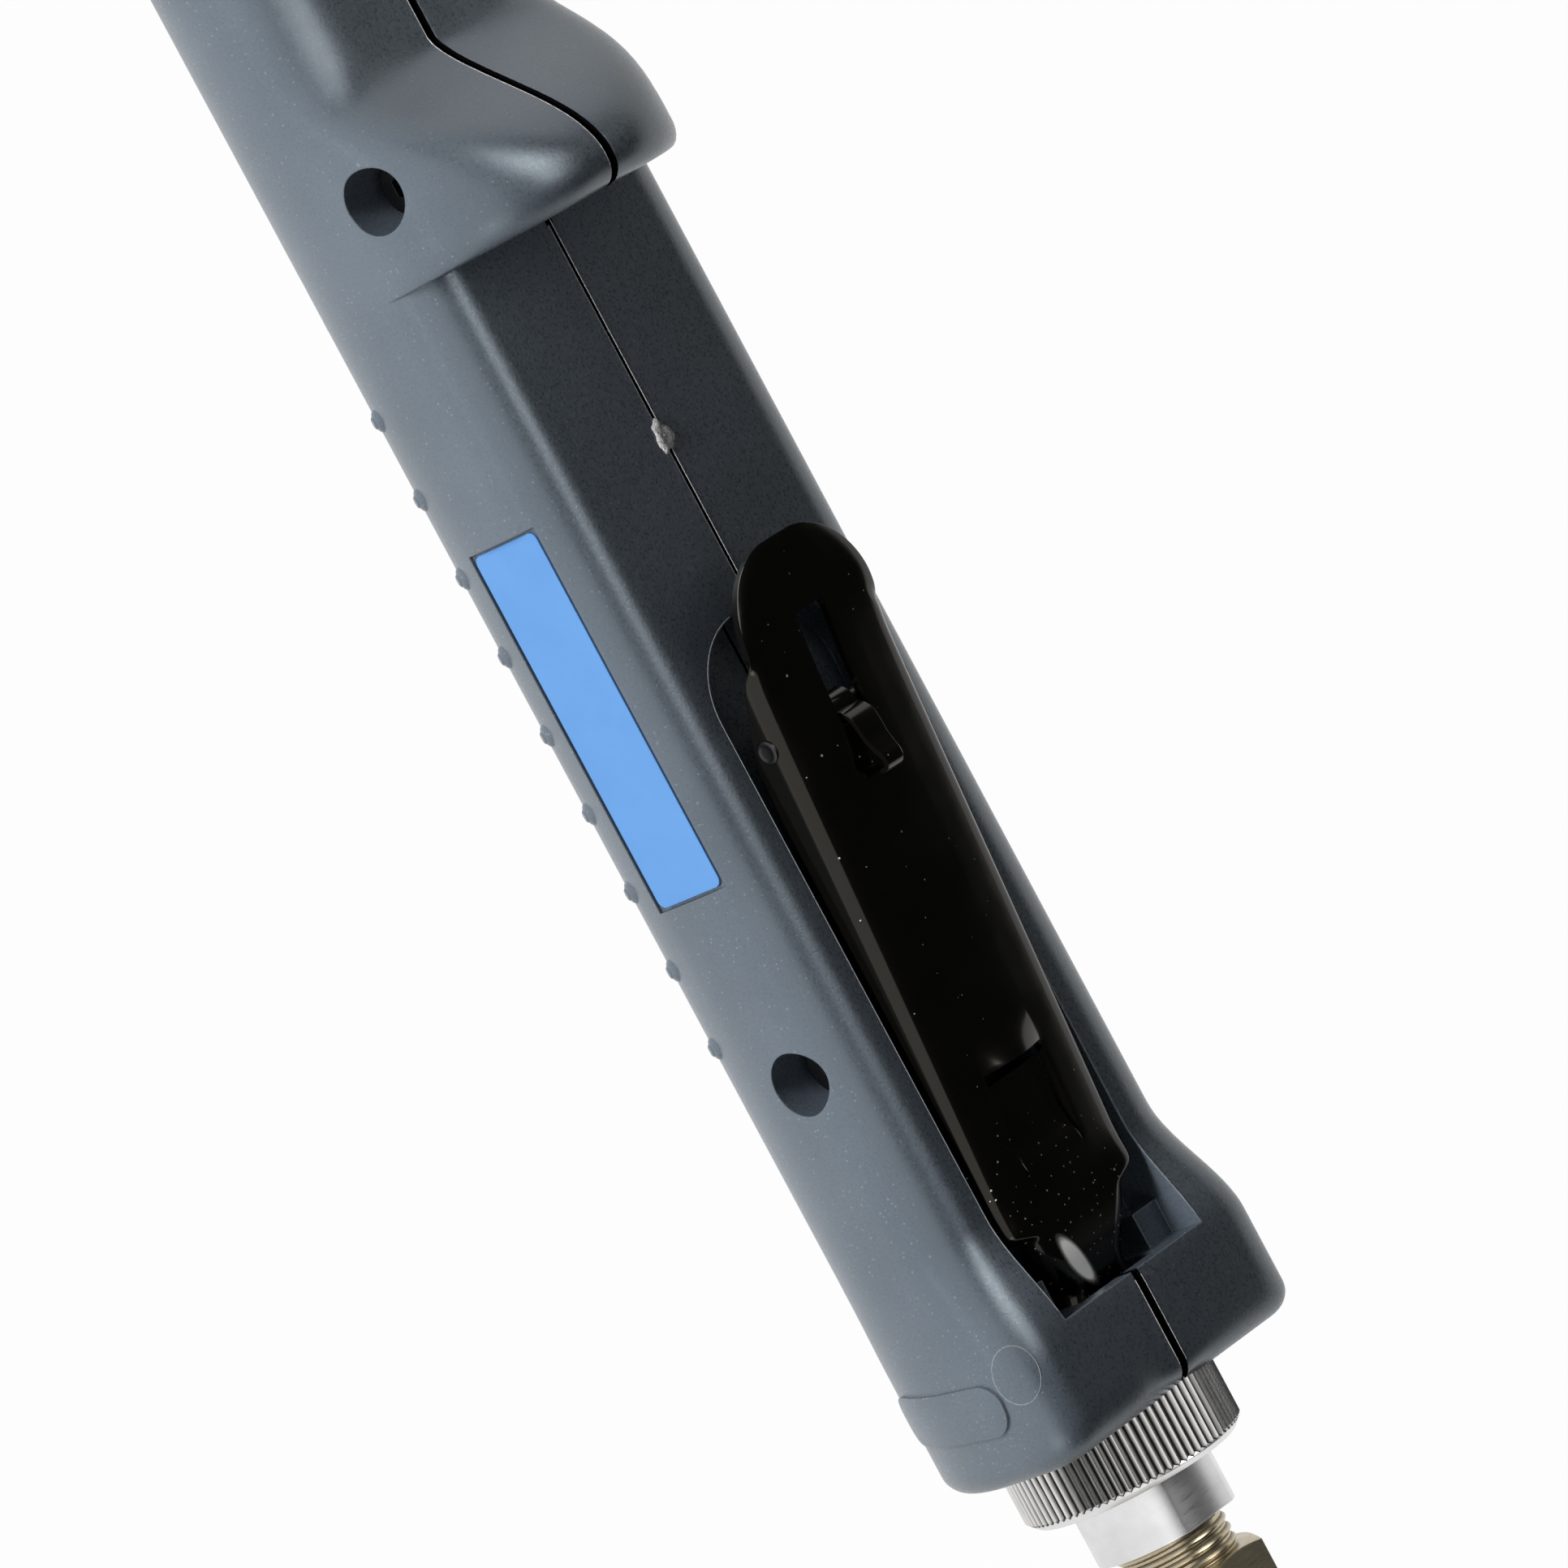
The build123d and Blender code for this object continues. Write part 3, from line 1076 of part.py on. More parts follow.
def main():
    housing_left, housing_right = housing_halves()
    pieces = {
        "housing_left": housing_left,
        "housing_right": housing_right,
    }
    makers = (
        housing_screws, label_plate, throttle_lever, lever_pivot_pin, lock_latch, latch_pin, latch_spring,
        inlet_body, inlet_bushing, inlet_screen, hose_nipple, exhaust_deflector, exhaust_felt, collar_seal,
        valve_bush, valve_stem, valve_seal, valve_plug, valve_spring, air_tube, rear_cap, valve_chest,
        flapper_valve, port_plate, cylinder, piston_rod, piston_ring, front_bumper, front_bush, rod_seal,
        nose_cap, blade_holder, blade_screws, saw_blade, blade_guard, guard_washers, guard_screws,
    )
    for maker in makers:
        pieces[maker.__name__] = maker()
    os.makedirs("parts", exist_ok=True)
    for name, piece in pieces.items():
        export_step(piece, f"parts/{name}.step")


main()
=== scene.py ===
import json
from math import acos, cos, hypot, pi, radians, sin, sqrt

import bpy
from mathutils import Matrix, Vector
from mathutils.bvhtree import BVHTree


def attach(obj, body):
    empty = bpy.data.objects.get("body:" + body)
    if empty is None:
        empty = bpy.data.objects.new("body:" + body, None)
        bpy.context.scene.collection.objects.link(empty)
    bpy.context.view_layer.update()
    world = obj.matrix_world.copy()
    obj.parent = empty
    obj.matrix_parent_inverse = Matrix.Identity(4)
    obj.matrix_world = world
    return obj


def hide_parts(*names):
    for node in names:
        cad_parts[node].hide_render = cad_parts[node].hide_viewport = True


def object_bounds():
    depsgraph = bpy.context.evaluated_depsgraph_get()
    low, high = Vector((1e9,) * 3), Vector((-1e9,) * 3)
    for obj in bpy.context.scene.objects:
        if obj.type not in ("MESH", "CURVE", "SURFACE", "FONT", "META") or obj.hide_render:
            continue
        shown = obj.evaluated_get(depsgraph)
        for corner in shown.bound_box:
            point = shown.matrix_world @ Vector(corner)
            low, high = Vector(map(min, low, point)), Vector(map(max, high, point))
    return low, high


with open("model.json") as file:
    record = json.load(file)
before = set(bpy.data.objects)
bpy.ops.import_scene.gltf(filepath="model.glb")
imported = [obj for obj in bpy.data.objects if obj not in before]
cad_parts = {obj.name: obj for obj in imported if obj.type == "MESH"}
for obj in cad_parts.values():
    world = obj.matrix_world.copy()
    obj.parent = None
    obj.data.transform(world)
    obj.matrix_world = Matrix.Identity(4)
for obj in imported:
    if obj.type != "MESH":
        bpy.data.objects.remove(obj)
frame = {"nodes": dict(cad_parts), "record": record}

MM = 0.001
CAD_BOX = [list(corner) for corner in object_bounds()]
UP = Vector((0.0, 0.0, 1.0))
DOWN = Vector((0.0, 0.0, -1.0))

# Camera: angles and framing of the photograph
AIM = Vector((134.0, 0.0, 0.0)) * MM
AIM_RIGHT = 2.2 * MM
AIM_UP = -0.4 * MM
AZIMUTH = 82.9
ELEVATION = 46.3
ROLL = 67.0
DISTANCE = 1.2
SENSOR = 36.0
FRAME_WIDTH = 182.4 * MM
CLIP_NEAR = 0.05
CLIP_FAR = 20.0

# Lights and boards: places and sizes in metres
KEY_PLACE = (0.62, 1.15, 0.09)
KEY_SIZE = (1.2, 0.2)
KEY_POWER = 19.0
STRIP_PLACE = (0.67, -0.17, 0.88)
STRIP_SIZE = (1.16, 0.28)
STRIP_POWER = 4.6
PANEL_PLACE = (0.66, -0.24, 0.90)
PANEL_SIZE = (0.36, 0.70)
PANEL_POWER = 2.2
KICKER_PLACE = (-0.43, 0.56, 0.61)
KICKER_SIZE = (0.30, 0.30)
KICKER_POWER = 0.6
AMBIENT = 0.02
FLOOR_SIZE = (8.0, 8.0)
FLOOR_GREY = 0.92
FLOOR_WHITE_SHARE = 0.98
CEILING_PLACE = (0.134, -0.56, 0.95)
CEILING_SIZE = (3.6, 2.0)

# Places of the solids that the added pieces follow, in millimetres and degrees
PIVOT_X = 60.0
PIVOT_Z = 7.6
LEVER_SLOPE = 5.2
LEVER_TOP = 4.05
LEVER_TIP = 100.6
HEAD_HALF = 11.7
HEAD_CORNER = 10.0
CHANNEL_HALF = 12.2
CHANNEL_BEND = 1.8
REAR_BEND = 3.4
CROWN = 0.7
SKIRT = 5.2
SHEET = 1.2
PIN_U = 78.7
PIN_V = 0.75
GRIP_HALF_WIDTH = 22.4
GRIP_BOTTOM_RADIUS = 17.6
GRIP_BOTTOM = -16.0
GRIP_TOP = 12.2
LABEL_X = (127.5, 173.5)
LABEL_Z = (-2.7, 8.3)
LABEL_Y = (21.2, 21.6)
THREAD_START = 29.3
THREAD_LENGTH = 4.5
THREAD_PITCH = 1.337

# Edges that turn by more than this many degrees stay sharp, and corners nearer than the weld are one
CRISP_ANGLE = 32.0
WELD_MM = 0.001


# Building blocks for materials

def blank_tree(owner, kind):
    """Cleared node tree of a material or world, with its output node."""
    owner.use_nodes = True
    tree = owner.node_tree
    tree.nodes.clear()
    return tree, tree.nodes.new("ShaderNodeOutput" + kind)


def new_material(name):
    """Empty material with a principled shader, as (material, tree, shader)."""
    made = bpy.data.materials.new(name)
    tree, output = blank_tree(made, "Material")
    shader = tree.nodes.new("ShaderNodeBsdfPrincipled")
    tree.links.new(shader.outputs["BSDF"], output.inputs["Surface"])
    return made, tree, shader


def feed(tree, socket, value):
    """Link a socket to another one, or give it a value."""
    if isinstance(value, bpy.types.NodeSocket):
        tree.links.new(value, socket)
    else:
        socket.default_value = value


def put(tree, made, **inputs):
    """Values or links on a node's inputs, spaces in input names written as _."""
    for name, value in inputs.items():
        feed(tree, made.inputs[name.replace("_", " ")], value)
    return made


def node(tree, kind, **inputs):
    """New node with values or links on its inputs."""
    return put(tree, tree.nodes.new("ShaderNode" + kind), **inputs)


def calc(tree, operation, *values):
    """Result of an operation on values and links."""
    made = tree.nodes.new("ShaderNodeMath")
    made.operation = operation
    for socket, value in zip(made.inputs, values):
        feed(tree, socket, value)
    return made.outputs["Value"]


def millimetres(tree, stretch=(1.0, 1.0, 1.0)):
    """Place on the object in millimetres, stretched along the axes."""
    place = tree.nodes.new("ShaderNodeTexCoord").outputs["Object"]
    scale = tuple(share / MM for share in stretch)
    return node(tree, "Mapping", Vector=place, Scale=scale).outputs["Vector"]


def noise(tree, place, scale, detail=2.0, roughness=0.5):
    """Soft noise from 0 to 1, with a scale in cells per millimetre."""
    made = node(tree, "TexNoise", Vector=place, Scale=scale, Detail=detail, Roughness=roughness)
    return made.outputs["Fac"]


def spread(tree, value, low, high, start=0.0, end=1.0):
    """Value from start to end mapped to low to high, clamped."""
    made = node(tree, "MapRange", Value=value, From_Min=start, From_Max=end, To_Min=low, To_Max=high)
    return made.outputs["Result"]


def mixed(tree, share, first, second):
    """Colour between two colours."""
    made = tree.nodes.new("ShaderNodeMix")
    made.data_type = "RGBA"
    sockets = {socket.identifier: socket for socket in made.inputs}
    feed(tree, sockets["Factor_Float"], share)
    for name, colour in (("A_Color", first), ("B_Color", second)):
        feed(tree, sockets[name], (*colour, 1.0) if isinstance(colour, tuple) else colour)
    return [socket for socket in made.outputs if socket.identifier == "Result_Color"][0]


SMALLEST_SPECK = 0.3


def specks(tree, place, scale, radius, share, dimensions="3D"):
    """1 inside small round specks up to a radius, of which only a share of the cells has one."""
    cells = node(tree, "TexVoronoi", Vector=place, Scale=scale)
    cells.voronoi_dimensions = dimensions
    shades = node(tree, "SeparateColor", Color=cells.outputs["Color"]).outputs
    reach = spread(tree, shades["Green"], SMALLEST_SPECK * radius * scale, radius * scale)
    near = calc(tree, "LESS_THAN", cells.outputs["Distance"], reach)
    return calc(tree, "MULTIPLY", near, calc(tree, "LESS_THAN", shades["Red"], share))


EDGE_SAMPLES = 8


def soft_edges(tree, radius):
    """Normal that is rounded near the edges, within a radius in millimetres that may vary."""
    varies = isinstance(radius, bpy.types.NodeSocket)
    made = node(tree, "Bevel", Radius=calc(tree, "MULTIPLY", radius, MM) if varies else radius * MM)
    made.samples = EDGE_SAMPLES
    return made.outputs["Normal"]


def bump(tree, height, depth, strength=1.0, normal=None):
    """Normal that a height up to a depth in millimetres tilts, on top of another normal if there is one."""
    made = node(tree, "Bump", Height=height, Strength=strength, Distance=depth * MM)
    if normal is not None:
        feed(tree, made.inputs["Normal"], normal)
    return made.outputs["Normal"]


# Materials: colours are linear, and fields on the housing and the lever are in millimetres

SLATE = ((0.095, 0.117, 0.144), (0.120, 0.145, 0.176))
SLATE_GLINT = (0.82, 0.93, 1.0, 1.0)
SLATE_GRAIN = 0.9
# Colour of lighter specks that stand in for glints on the grain: painted glints
SLATE_PAINTED_GLINT = (0.23, 0.26, 0.30)
SLATE_DUST = (0.50, 0.52, 0.54)
SLATE_SCUFF = (0.30, 0.32, 0.34)
SCUFF_STRETCH = (0.35, 2.2, 1.0)
SCUFF_BREAKS = 0.53
BLACK_COAT = (0.0036, 0.0034, 0.0028)
COAT_GLINT = (1.0, 0.95, 0.84, 1.0)
COAT_LEVEL = 0.40
COAT_DUST = (0.80, 0.79, 0.76)
# Colour and roughness of the bright metal patch on the lever's tongue, a painted highlight
HIGHLIGHT_STEEL = (0.90, 0.89, 0.87)
HIGHLIGHT_ROUGHNESS = 0.55
LABEL_BLUE = ((0.118, 0.304, 0.663), (0.140, 0.354, 0.738))
NICKEL = (0.50, 0.43, 0.30)

# Painted shade over the parting line's gap: its near-black colour, its half-widths along the grip and at
# the ends, how its edge wanders, and where the ends begin
SEAM_SHADE = (0.004, 0.004, 0.005)
SEAM_FINE = 0.28
SEAM_WIDE = 0.66
SEAM_WANDER = 0.12
SEAM_TAIL_END = 66.0
SEAM_HUMP_START = 203.0

FINE_EDGE = 0.35
FRONT_EDGE = 12.0
FRONT_EDGE_X = (221.0, 229.0)
HUMP_EDGE = 6.0
HUMP_EDGE_Z = (16.5, 20.0)
TAIL_EDGE = 5.0
TAIL_EDGE_X = (55.0, 59.0)
SHOULDER_X = (68.0, 76.0)
SHOULDER_Y = (15.5, 18.5)
EDGE_PER_ASIDE = 0.75

DUSTY_END = (68.0, 92.0)
DUSTY_SHARE = (0.5, 0.03)
COARSE_SHARE = 0.4
# Place, slant and size of that patch, a painted highlight
HIGHLIGHT_PATCH_X = 68.7
HIGHLIGHT_PATCH_Y = 3.25
HIGHLIGHT_PATCH_SLANT = 0.5
HIGHLIGHT_PATCH_HALF_LENGTH = 4.2
HIGHLIGHT_PATCH_HALF_WIDTH = 1.6

METAL_STAIN = 0.12
METAL_EDGE = 0.15
GROOVE_WANDER = 0.16


def edge_reach(tree, place):
    """Edge radius of the housing: fine along the grip, broad on the front, the hump and the tail."""
    axes = node(tree, "SeparateXYZ", Vector=place).outputs
    aside = calc(tree, "ABSOLUTE", axes["Y"])
    front = spread(tree, axes["X"], 0.0, FRONT_EDGE, *FRONT_EDGE_X)
    hump = spread(tree, axes["Z"], 0.0, HUMP_EDGE, *HUMP_EDGE_Z)
    tail = spread(tree, axes["X"], TAIL_EDGE, 0.0, *TAIL_EDGE_X)
    shoulder = calc(tree, "MULTIPLY", spread(tree, axes["X"], TAIL_EDGE, 0.0, *SHOULDER_X),
                    spread(tree, aside, 0.0, 1.0, *SHOULDER_Y))
    broad = calc(tree, "MAXIMUM", calc(tree, "MAXIMUM", front, hump), calc(tree, "MAXIMUM", tail, shoulder))
    room = calc(tree, "MULTIPLY", aside, EDGE_PER_ASIDE)
    return calc(tree, "ADD", calc(tree, "MINIMUM", broad, room), FINE_EDGE)


def seam_painted_shade(tree, place):
    """1 in a band of painted shade over the parting line's gap, which is wider on the hump and the tail."""
    axes = node(tree, "SeparateXYZ", Vector=place).outputs
    wander = calc(tree, "MULTIPLY", noise(tree, place, scale=1.2, detail=3.0), SEAM_WANDER)
    aside = calc(tree, "ADD", calc(tree, "ABSOLUTE", axes["Y"]), wander)
    ends = calc(tree, "MAXIMUM", calc(tree, "LESS_THAN", axes["X"], SEAM_TAIL_END),
                calc(tree, "GREATER_THAN", axes["X"], SEAM_HUMP_START))
    return calc(tree, "LESS_THAN", aside, spread(tree, ends, SEAM_FINE, SEAM_WIDE))


def housing_plastic():
    """Slate grey moulded plastic with a spark-eroded grain, lighter specks that are painted glints, dust, a
    few scuffs and painted shade along the parting line.
    """
    made, tree, shader = new_material("housing_plastic")
    place = millimetres(tree)
    grain = noise(tree, place, scale=2.6, detail=3.0, roughness=0.6)
    patchy = calc(tree, "ADD", noise(tree, place, scale=0.06), calc(tree, "MULTIPLY", grain, SLATE_GRAIN))
    body = mixed(tree, spread(tree, patchy, 0.0, 1.0, start=0.72, end=1.18), *SLATE)
    # Painted glints: lighter specks mixed into the colour
    painted_glints = mixed(tree, specks(tree, place, scale=1.7, radius=0.13, share=0.5), body, SLATE_PAINTED_GLINT)
    dust = calc(tree, "MAXIMUM", specks(tree, place, scale=0.30, radius=0.10, share=0.45),
                specks(tree, place, scale=0.9, radius=0.07, share=0.10))
    dusty = mixed(tree, dust, painted_glints, SLATE_DUST)
    scuffs = specks(tree, millimetres(tree, SCUFF_STRETCH), scale=0.16, radius=0.22, share=0.16)
    broken = calc(tree, "GREATER_THAN", noise(tree, place, scale=3.2), SCUFF_BREAKS)
    worn = mixed(tree, calc(tree, "MULTIPLY", scuffs, broken), dusty, SLATE_SCUFF)
    # Painted shade along the parting line: the band turns the colour near black and takes the reflections
    # away
    seam_shade = seam_painted_shade(tree, place)
    edges = soft_edges(tree, edge_reach(tree, place))
    put(tree, shader,
        Base_Color=mixed(tree, seam_shade, worn, SEAM_SHADE),
        Specular_IOR_Level=spread(tree, seam_shade, 1.0, 0.0),
        Specular_Tint=SLATE_GLINT,
        Roughness=spread(tree, grain, 0.24, 0.36, start=0.3, end=0.7),
        Normal=bump(tree, grain, depth=0.03, strength=0.55, normal=edges))
    return made


def pale_plastic(name, first, second, depth):
    """The housing's plastic where a mould edge or a cut has left it pale."""
    made, tree, shader = new_material(name)
    grain = noise(tree, millimetres(tree), scale=3.5, detail=4.0, roughness=0.7)
    put(tree, shader,
        Base_Color=mixed(tree, spread(tree, grain, 0.0, 1.0, start=0.35, end=0.6), first, second),
        Roughness=spread(tree, grain, 0.45, 0.75),
        Normal=bump(tree, grain, depth, strength=0.8))
    return made


def painted_highlight_patch(tree, place):
    """Share of bright metal on the left of the lever's tongue, a patch that stands in for a highlight
    there: a painted highlight.
    """
    axes = node(tree, "SeparateXYZ", Vector=place).outputs
    ahead = calc(tree, "SUBTRACT", axes["X"], HIGHLIGHT_PATCH_X)
    middle = calc(tree, "MULTIPLY_ADD", ahead, HIGHLIGHT_PATCH_SLANT, HIGHLIGHT_PATCH_Y)
    aside = calc(tree, "SUBTRACT", axes["Y"], middle)
    far = calc(tree, "ADD", calc(tree, "POWER", calc(tree, "DIVIDE", ahead, HIGHLIGHT_PATCH_HALF_LENGTH), 2.0),
               calc(tree, "POWER", calc(tree, "DIVIDE", aside, HIGHLIGHT_PATCH_HALF_WIDTH), 2.0))
    return spread(tree, far, 1.0, 0.0, start=0.45, end=1.0)


def black_lever():
    """Gloss black coating on steel, with smudges, orange peel, dust that settled towards the pivot, and a
    bright metal patch that is a painted highlight.
    """
    made, tree, shader = new_material("black_lever")
    place = millimetres(tree)
    ahead = node(tree, "SeparateXYZ", Vector=place).outputs["X"]
    settled = spread(tree, ahead, *DUSTY_SHARE, *DUSTY_END)
    coarse = calc(tree, "MULTIPLY", settled, COARSE_SHARE)
    dust = calc(tree, "MAXIMUM", specks(tree, place, 0.8, radius=0.12, share=settled, dimensions="2D"),
                specks(tree, place, 0.4, radius=0.17, share=coarse, dimensions="2D"))
    # Painted highlight: a bright metal patch on the tongue
    highlight_patch = painted_highlight_patch(tree, place)
    coat = mixed(tree, highlight_patch, BLACK_COAT, HIGHLIGHT_STEEL)
    smudge = noise(tree, place, scale=0.12, detail=3.0)
    gloss = spread(tree, calc(tree, "ADD", smudge, dust), 0.12, 0.25, start=0.35, end=1.2)
    dull = calc(tree, "MULTIPLY", highlight_patch, HIGHLIGHT_ROUGHNESS)
    peel = noise(tree, place, scale=0.7)
    put(tree, shader,
        Base_Color=mixed(tree, dust, coat, COAT_DUST),
        Metallic=highlight_patch,
        Roughness=calc(tree, "MAXIMUM", gloss, dull),
        Normal=bump(tree, peel, depth=0.010, strength=0.4),
        Specular_IOR_Level=COAT_LEVEL,
        Specular_Tint=COAT_GLINT)
    return made


def label_film():
    """Plain blue printed film with a faint calendered surface."""
    made, tree, shader = new_material("label_film")
    place = millimetres(tree)
    fine = noise(tree, place, scale=3.0)
    put(tree, shader,
        Base_Color=mixed(tree, noise(tree, place, scale=0.15), *LABEL_BLUE),
        Roughness=spread(tree, fine, 0.36, 0.48),
        Normal=bump(tree, fine, depth=0.012, strength=0.6))
    return made


def metal(name, colour, low, high, stretch=(1.0, 1.0, 1.0), scale=2.0, depth=0.01):
    """Metal from a low to a high roughness, with turned or brushed marks and a light stain."""
    made, tree, shader = new_material(name)
    marks = noise(tree, millimetres(tree, stretch), scale, detail=3.0, roughness=0.6)
    broad = noise(tree, millimetres(tree), scale=0.2, detail=3.0)
    stained = tuple(c * (1.0 - METAL_STAIN) for c in colour)
    put(tree, shader,
        Metallic=1.0,
        Base_Color=mixed(tree, spread(tree, broad, 0.0, 1.0, start=0.35, end=0.65), stained, colour),
        Roughness=spread(tree, marks, low, high, start=0.25, end=0.75),
        Normal=bump(tree, marks, depth, strength=0.6, normal=soft_edges(tree, METAL_EDGE)))
    return made


def groove_shaded_metal(name, low, high, dark, bright):
    """Metal about the tool's axis that is dull in its grooves and darkened there with painted shade, from a
    low to a high radius.
    """
    made, tree, shader = new_material(name)
    axes = node(tree, "SeparateXYZ", Vector=millimetres(tree)).outputs
    squares = calc(tree, "ADD", calc(tree, "POWER", axes["Y"], 2.0), calc(tree, "POWER", axes["Z"], 2.0))
    marks = noise(tree, millimetres(tree, GROOVE_MARKS), scale=1.4)
    height = calc(tree, "ADD", calc(tree, "SQRT", squares), calc(tree, "MULTIPLY", marks, GROOVE_WANDER))
    clear = spread(tree, height, 0.0, 1.0, low, high)
    put(tree, shader,
        Metallic=1.0,
        # Painted shade: the colour grows darker towards the bottom of the grooves
        Base_Color=mixed(tree, clear, dark, bright),
        Roughness=spread(tree, clear, 0.5, 0.22),
        Normal=bump(tree, marks, depth=0.006, strength=0.5))
    return made


def matte(name, first, second, scale, depth, roughness):
    """Dull soft material with a mottled grain."""
    made, tree, shader = new_material(name)
    grain = noise(tree, millimetres(tree), scale, detail=4.0, roughness=0.7)
    put(tree, shader,
        Base_Color=mixed(tree, grain, first, second),
        Roughness=spread(tree, grain, roughness - 0.1, roughness + 0.1),
        Normal=bump(tree, grain, depth))
    return made


# How the marks on metal are stretched, then the finishes: a metal has its colour, its roughness
# from and to, and the stretch and scale of its marks
TURNED = (12.0, 0.2, 0.2)
BRUSHED = (0.1, 6.0, 6.0)
GROOVE_MARKS = (0.3, 3.0, 3.0)
MATERIALS = {
    "housing_plastic": housing_plastic(),
    "label_film": label_film(),
    "black_lever": black_lever(),
    "bright_collar": metal("bright_collar", (0.80, 0.80, 0.80), 0.24, 0.40, TURNED, 1.2, depth=0.004),
    "nickel_brass": metal("nickel_brass", NICKEL, 0.22, 0.38, TURNED, 1.2, depth=0.004),
    "zinc_steel": metal("zinc_steel", (0.62, 0.62, 0.60), 0.28, 0.45),
    "spring_steel": metal("spring_steel", (0.42, 0.42, 0.43), 0.22, 0.38),
    "machined_aluminium": metal("machined_aluminium", (0.78, 0.79, 0.80), 0.24, 0.42, TURNED, 1.2),
    "plain_brass": metal("plain_brass", (0.72, 0.52, 0.24), 0.22, 0.40, TURNED, 1.2),
    "ground_steel": metal("ground_steel", (0.60, 0.60, 0.61), 0.14, 0.28, TURNED, 1.5),
    "blade_steel": metal("blade_steel", (0.50, 0.50, 0.49), 0.24, 0.44, BRUSHED, 0.8),
    "black_steel": metal("black_steel", (0.06, 0.06, 0.062), 0.30, 0.46, BRUSHED, 0.6),
    "black_rubber": matte("black_rubber", (0.012, 0.012, 0.012), (0.022, 0.022, 0.022), 2.0, 0.03, 0.65),
    "grey_felt": matte("grey_felt", (0.16, 0.16, 0.15), (0.30, 0.29, 0.27), 3.0, 0.25, 0.9),
}
FLASH = pale_plastic("mould_flash", (0.20, 0.22, 0.24), (0.42, 0.44, 0.46), 0.02)
SEAM_FLASH = pale_plastic("seam_flash", (0.34, 0.35, 0.36), (0.82, 0.82, 0.80), 0.02)
# Knurl and thread, darkened in their grooves with painted shade
KNURL = groove_shaded_metal("knurled_collar", 13.9, 14.24, (0.03, 0.029, 0.028), (0.72, 0.71, 0.70))
THREAD = groove_shaded_metal("thread_brass", 6.62, 7.06, (0.05, 0.04, 0.02), NICKEL)
SCUFF = pale_plastic("gate_cut", (0.45, 0.45, 0.45), (0.98, 0.98, 0.97), 0.3)


def crisp(thing):
    """Shade smooth only across edges that turn by less than the crisp angle."""
    split = thing.modifiers.new("split", "EDGE_SPLIT")
    split.split_angle = radians(CRISP_ANGLE)


def dress_solids():
    """Give each CAD node its finish, shaded smooth up to its sharp edges."""
    slots = {part["node"]: part["material_slot"] for part in frame["record"]["subparts"]}
    for name, solid in frame["nodes"].items():
        solid.data.materials.clear()
        solid.data.materials.append(KNURL if name == "exhaust_deflector" else MATERIALS[slots[name]])
        solid.data.polygons.foreach_set("use_smooth", [True] * len(solid.data.polygons))
        weld = solid.modifiers.new("weld", "WELD")
        weld.merge_threshold = WELD_MM * MM
        crisp(solid)


# Building blocks for pieces, in millimetres

def piece(name, points, faces, slot, body, material=None):
    """Smooth mesh that rides on a body."""
    mesh = bpy.data.meshes.new(name)
    mesh.from_pydata([Vector(p) * MM for p in points], [], faces)
    mesh.polygons.foreach_set("use_smooth", [True] * len(mesh.polygons))
    made = bpy.data.objects.new(name, mesh)
    bpy.context.scene.collection.objects.link(made)
    mesh.materials.append(material or MATERIALS[slot])
    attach(made, body)
    return made


def ramp(value, start, end):
    """0 before start, 1 after end, straight between."""
    return min(1.0, max(0.0, (value - start) / (end - start)))


def eased(value, start, end):
    """0 before start, 1 after end, smooth between."""
    share = ramp(value, start, end)
    return share * share * (3.0 - 2.0 * share)


def skin(rings, closed_rings, closed_ends=False):
    """Points and faces of a surface through rings of the same count."""
    count = len(rings[0])
    points = [point for ring in rings for point in ring]
    faces = []
    for row in range(len(rings) - 1):
        for column in range(count if closed_rings else count - 1):
            ahead = (column + 1) % count
            a, b = row * count + column, row * count + ahead
            faces.append((a, b, b + count, a + count))
    if closed_ends:
        faces.append(tuple(range(count))[::-1])
        faces.append(tuple(range(len(points) - count, len(points))))
    return points, faces


def lathe(profile, place, steps):
    """Rings about a line, from (along, radius) pairs; place turns (along, across, up) into a point."""
    turns = [2 * pi * step / steps for step in range(steps)]
    rings = [[place(along, radius * cos(turn), radius * sin(turn)) for turn in turns]
             for along, radius in profile]
    return skin(rings, True)


def turned_over(faces):
    """The same faces, seen from their other side."""
    return [face[::-1] for face in faces]


RIDGE_FOOT = 0.05
RIDGE_SHOULDER = 0.5
RIDGE_SHOULDER_HEIGHT = 0.8


def ridge(path, normals, width, height, closed=False):
    """Low bead along a path on a surface, its foot a little below that surface."""
    rings = []
    last = len(path) - 1
    for index, (point, normal) in enumerate(zip(path, normals)):
        before = path[index - 1] if closed or index > 0 else point
        after = path[(index + 1) % len(path)] if closed or index < last else point
        side = normal.cross(after - before).normalized() * (width / 2.0)
        foot = point - normal * RIDGE_FOOT
        shoulder = side * RIDGE_SHOULDER
        rise = normal * height * RIDGE_SHOULDER_HEIGHT
        rings.append([foot - side, point - shoulder + rise, point + shoulder + rise, foot + side])
    if closed:
        rings.append(rings[0])
    return skin(rings, False)


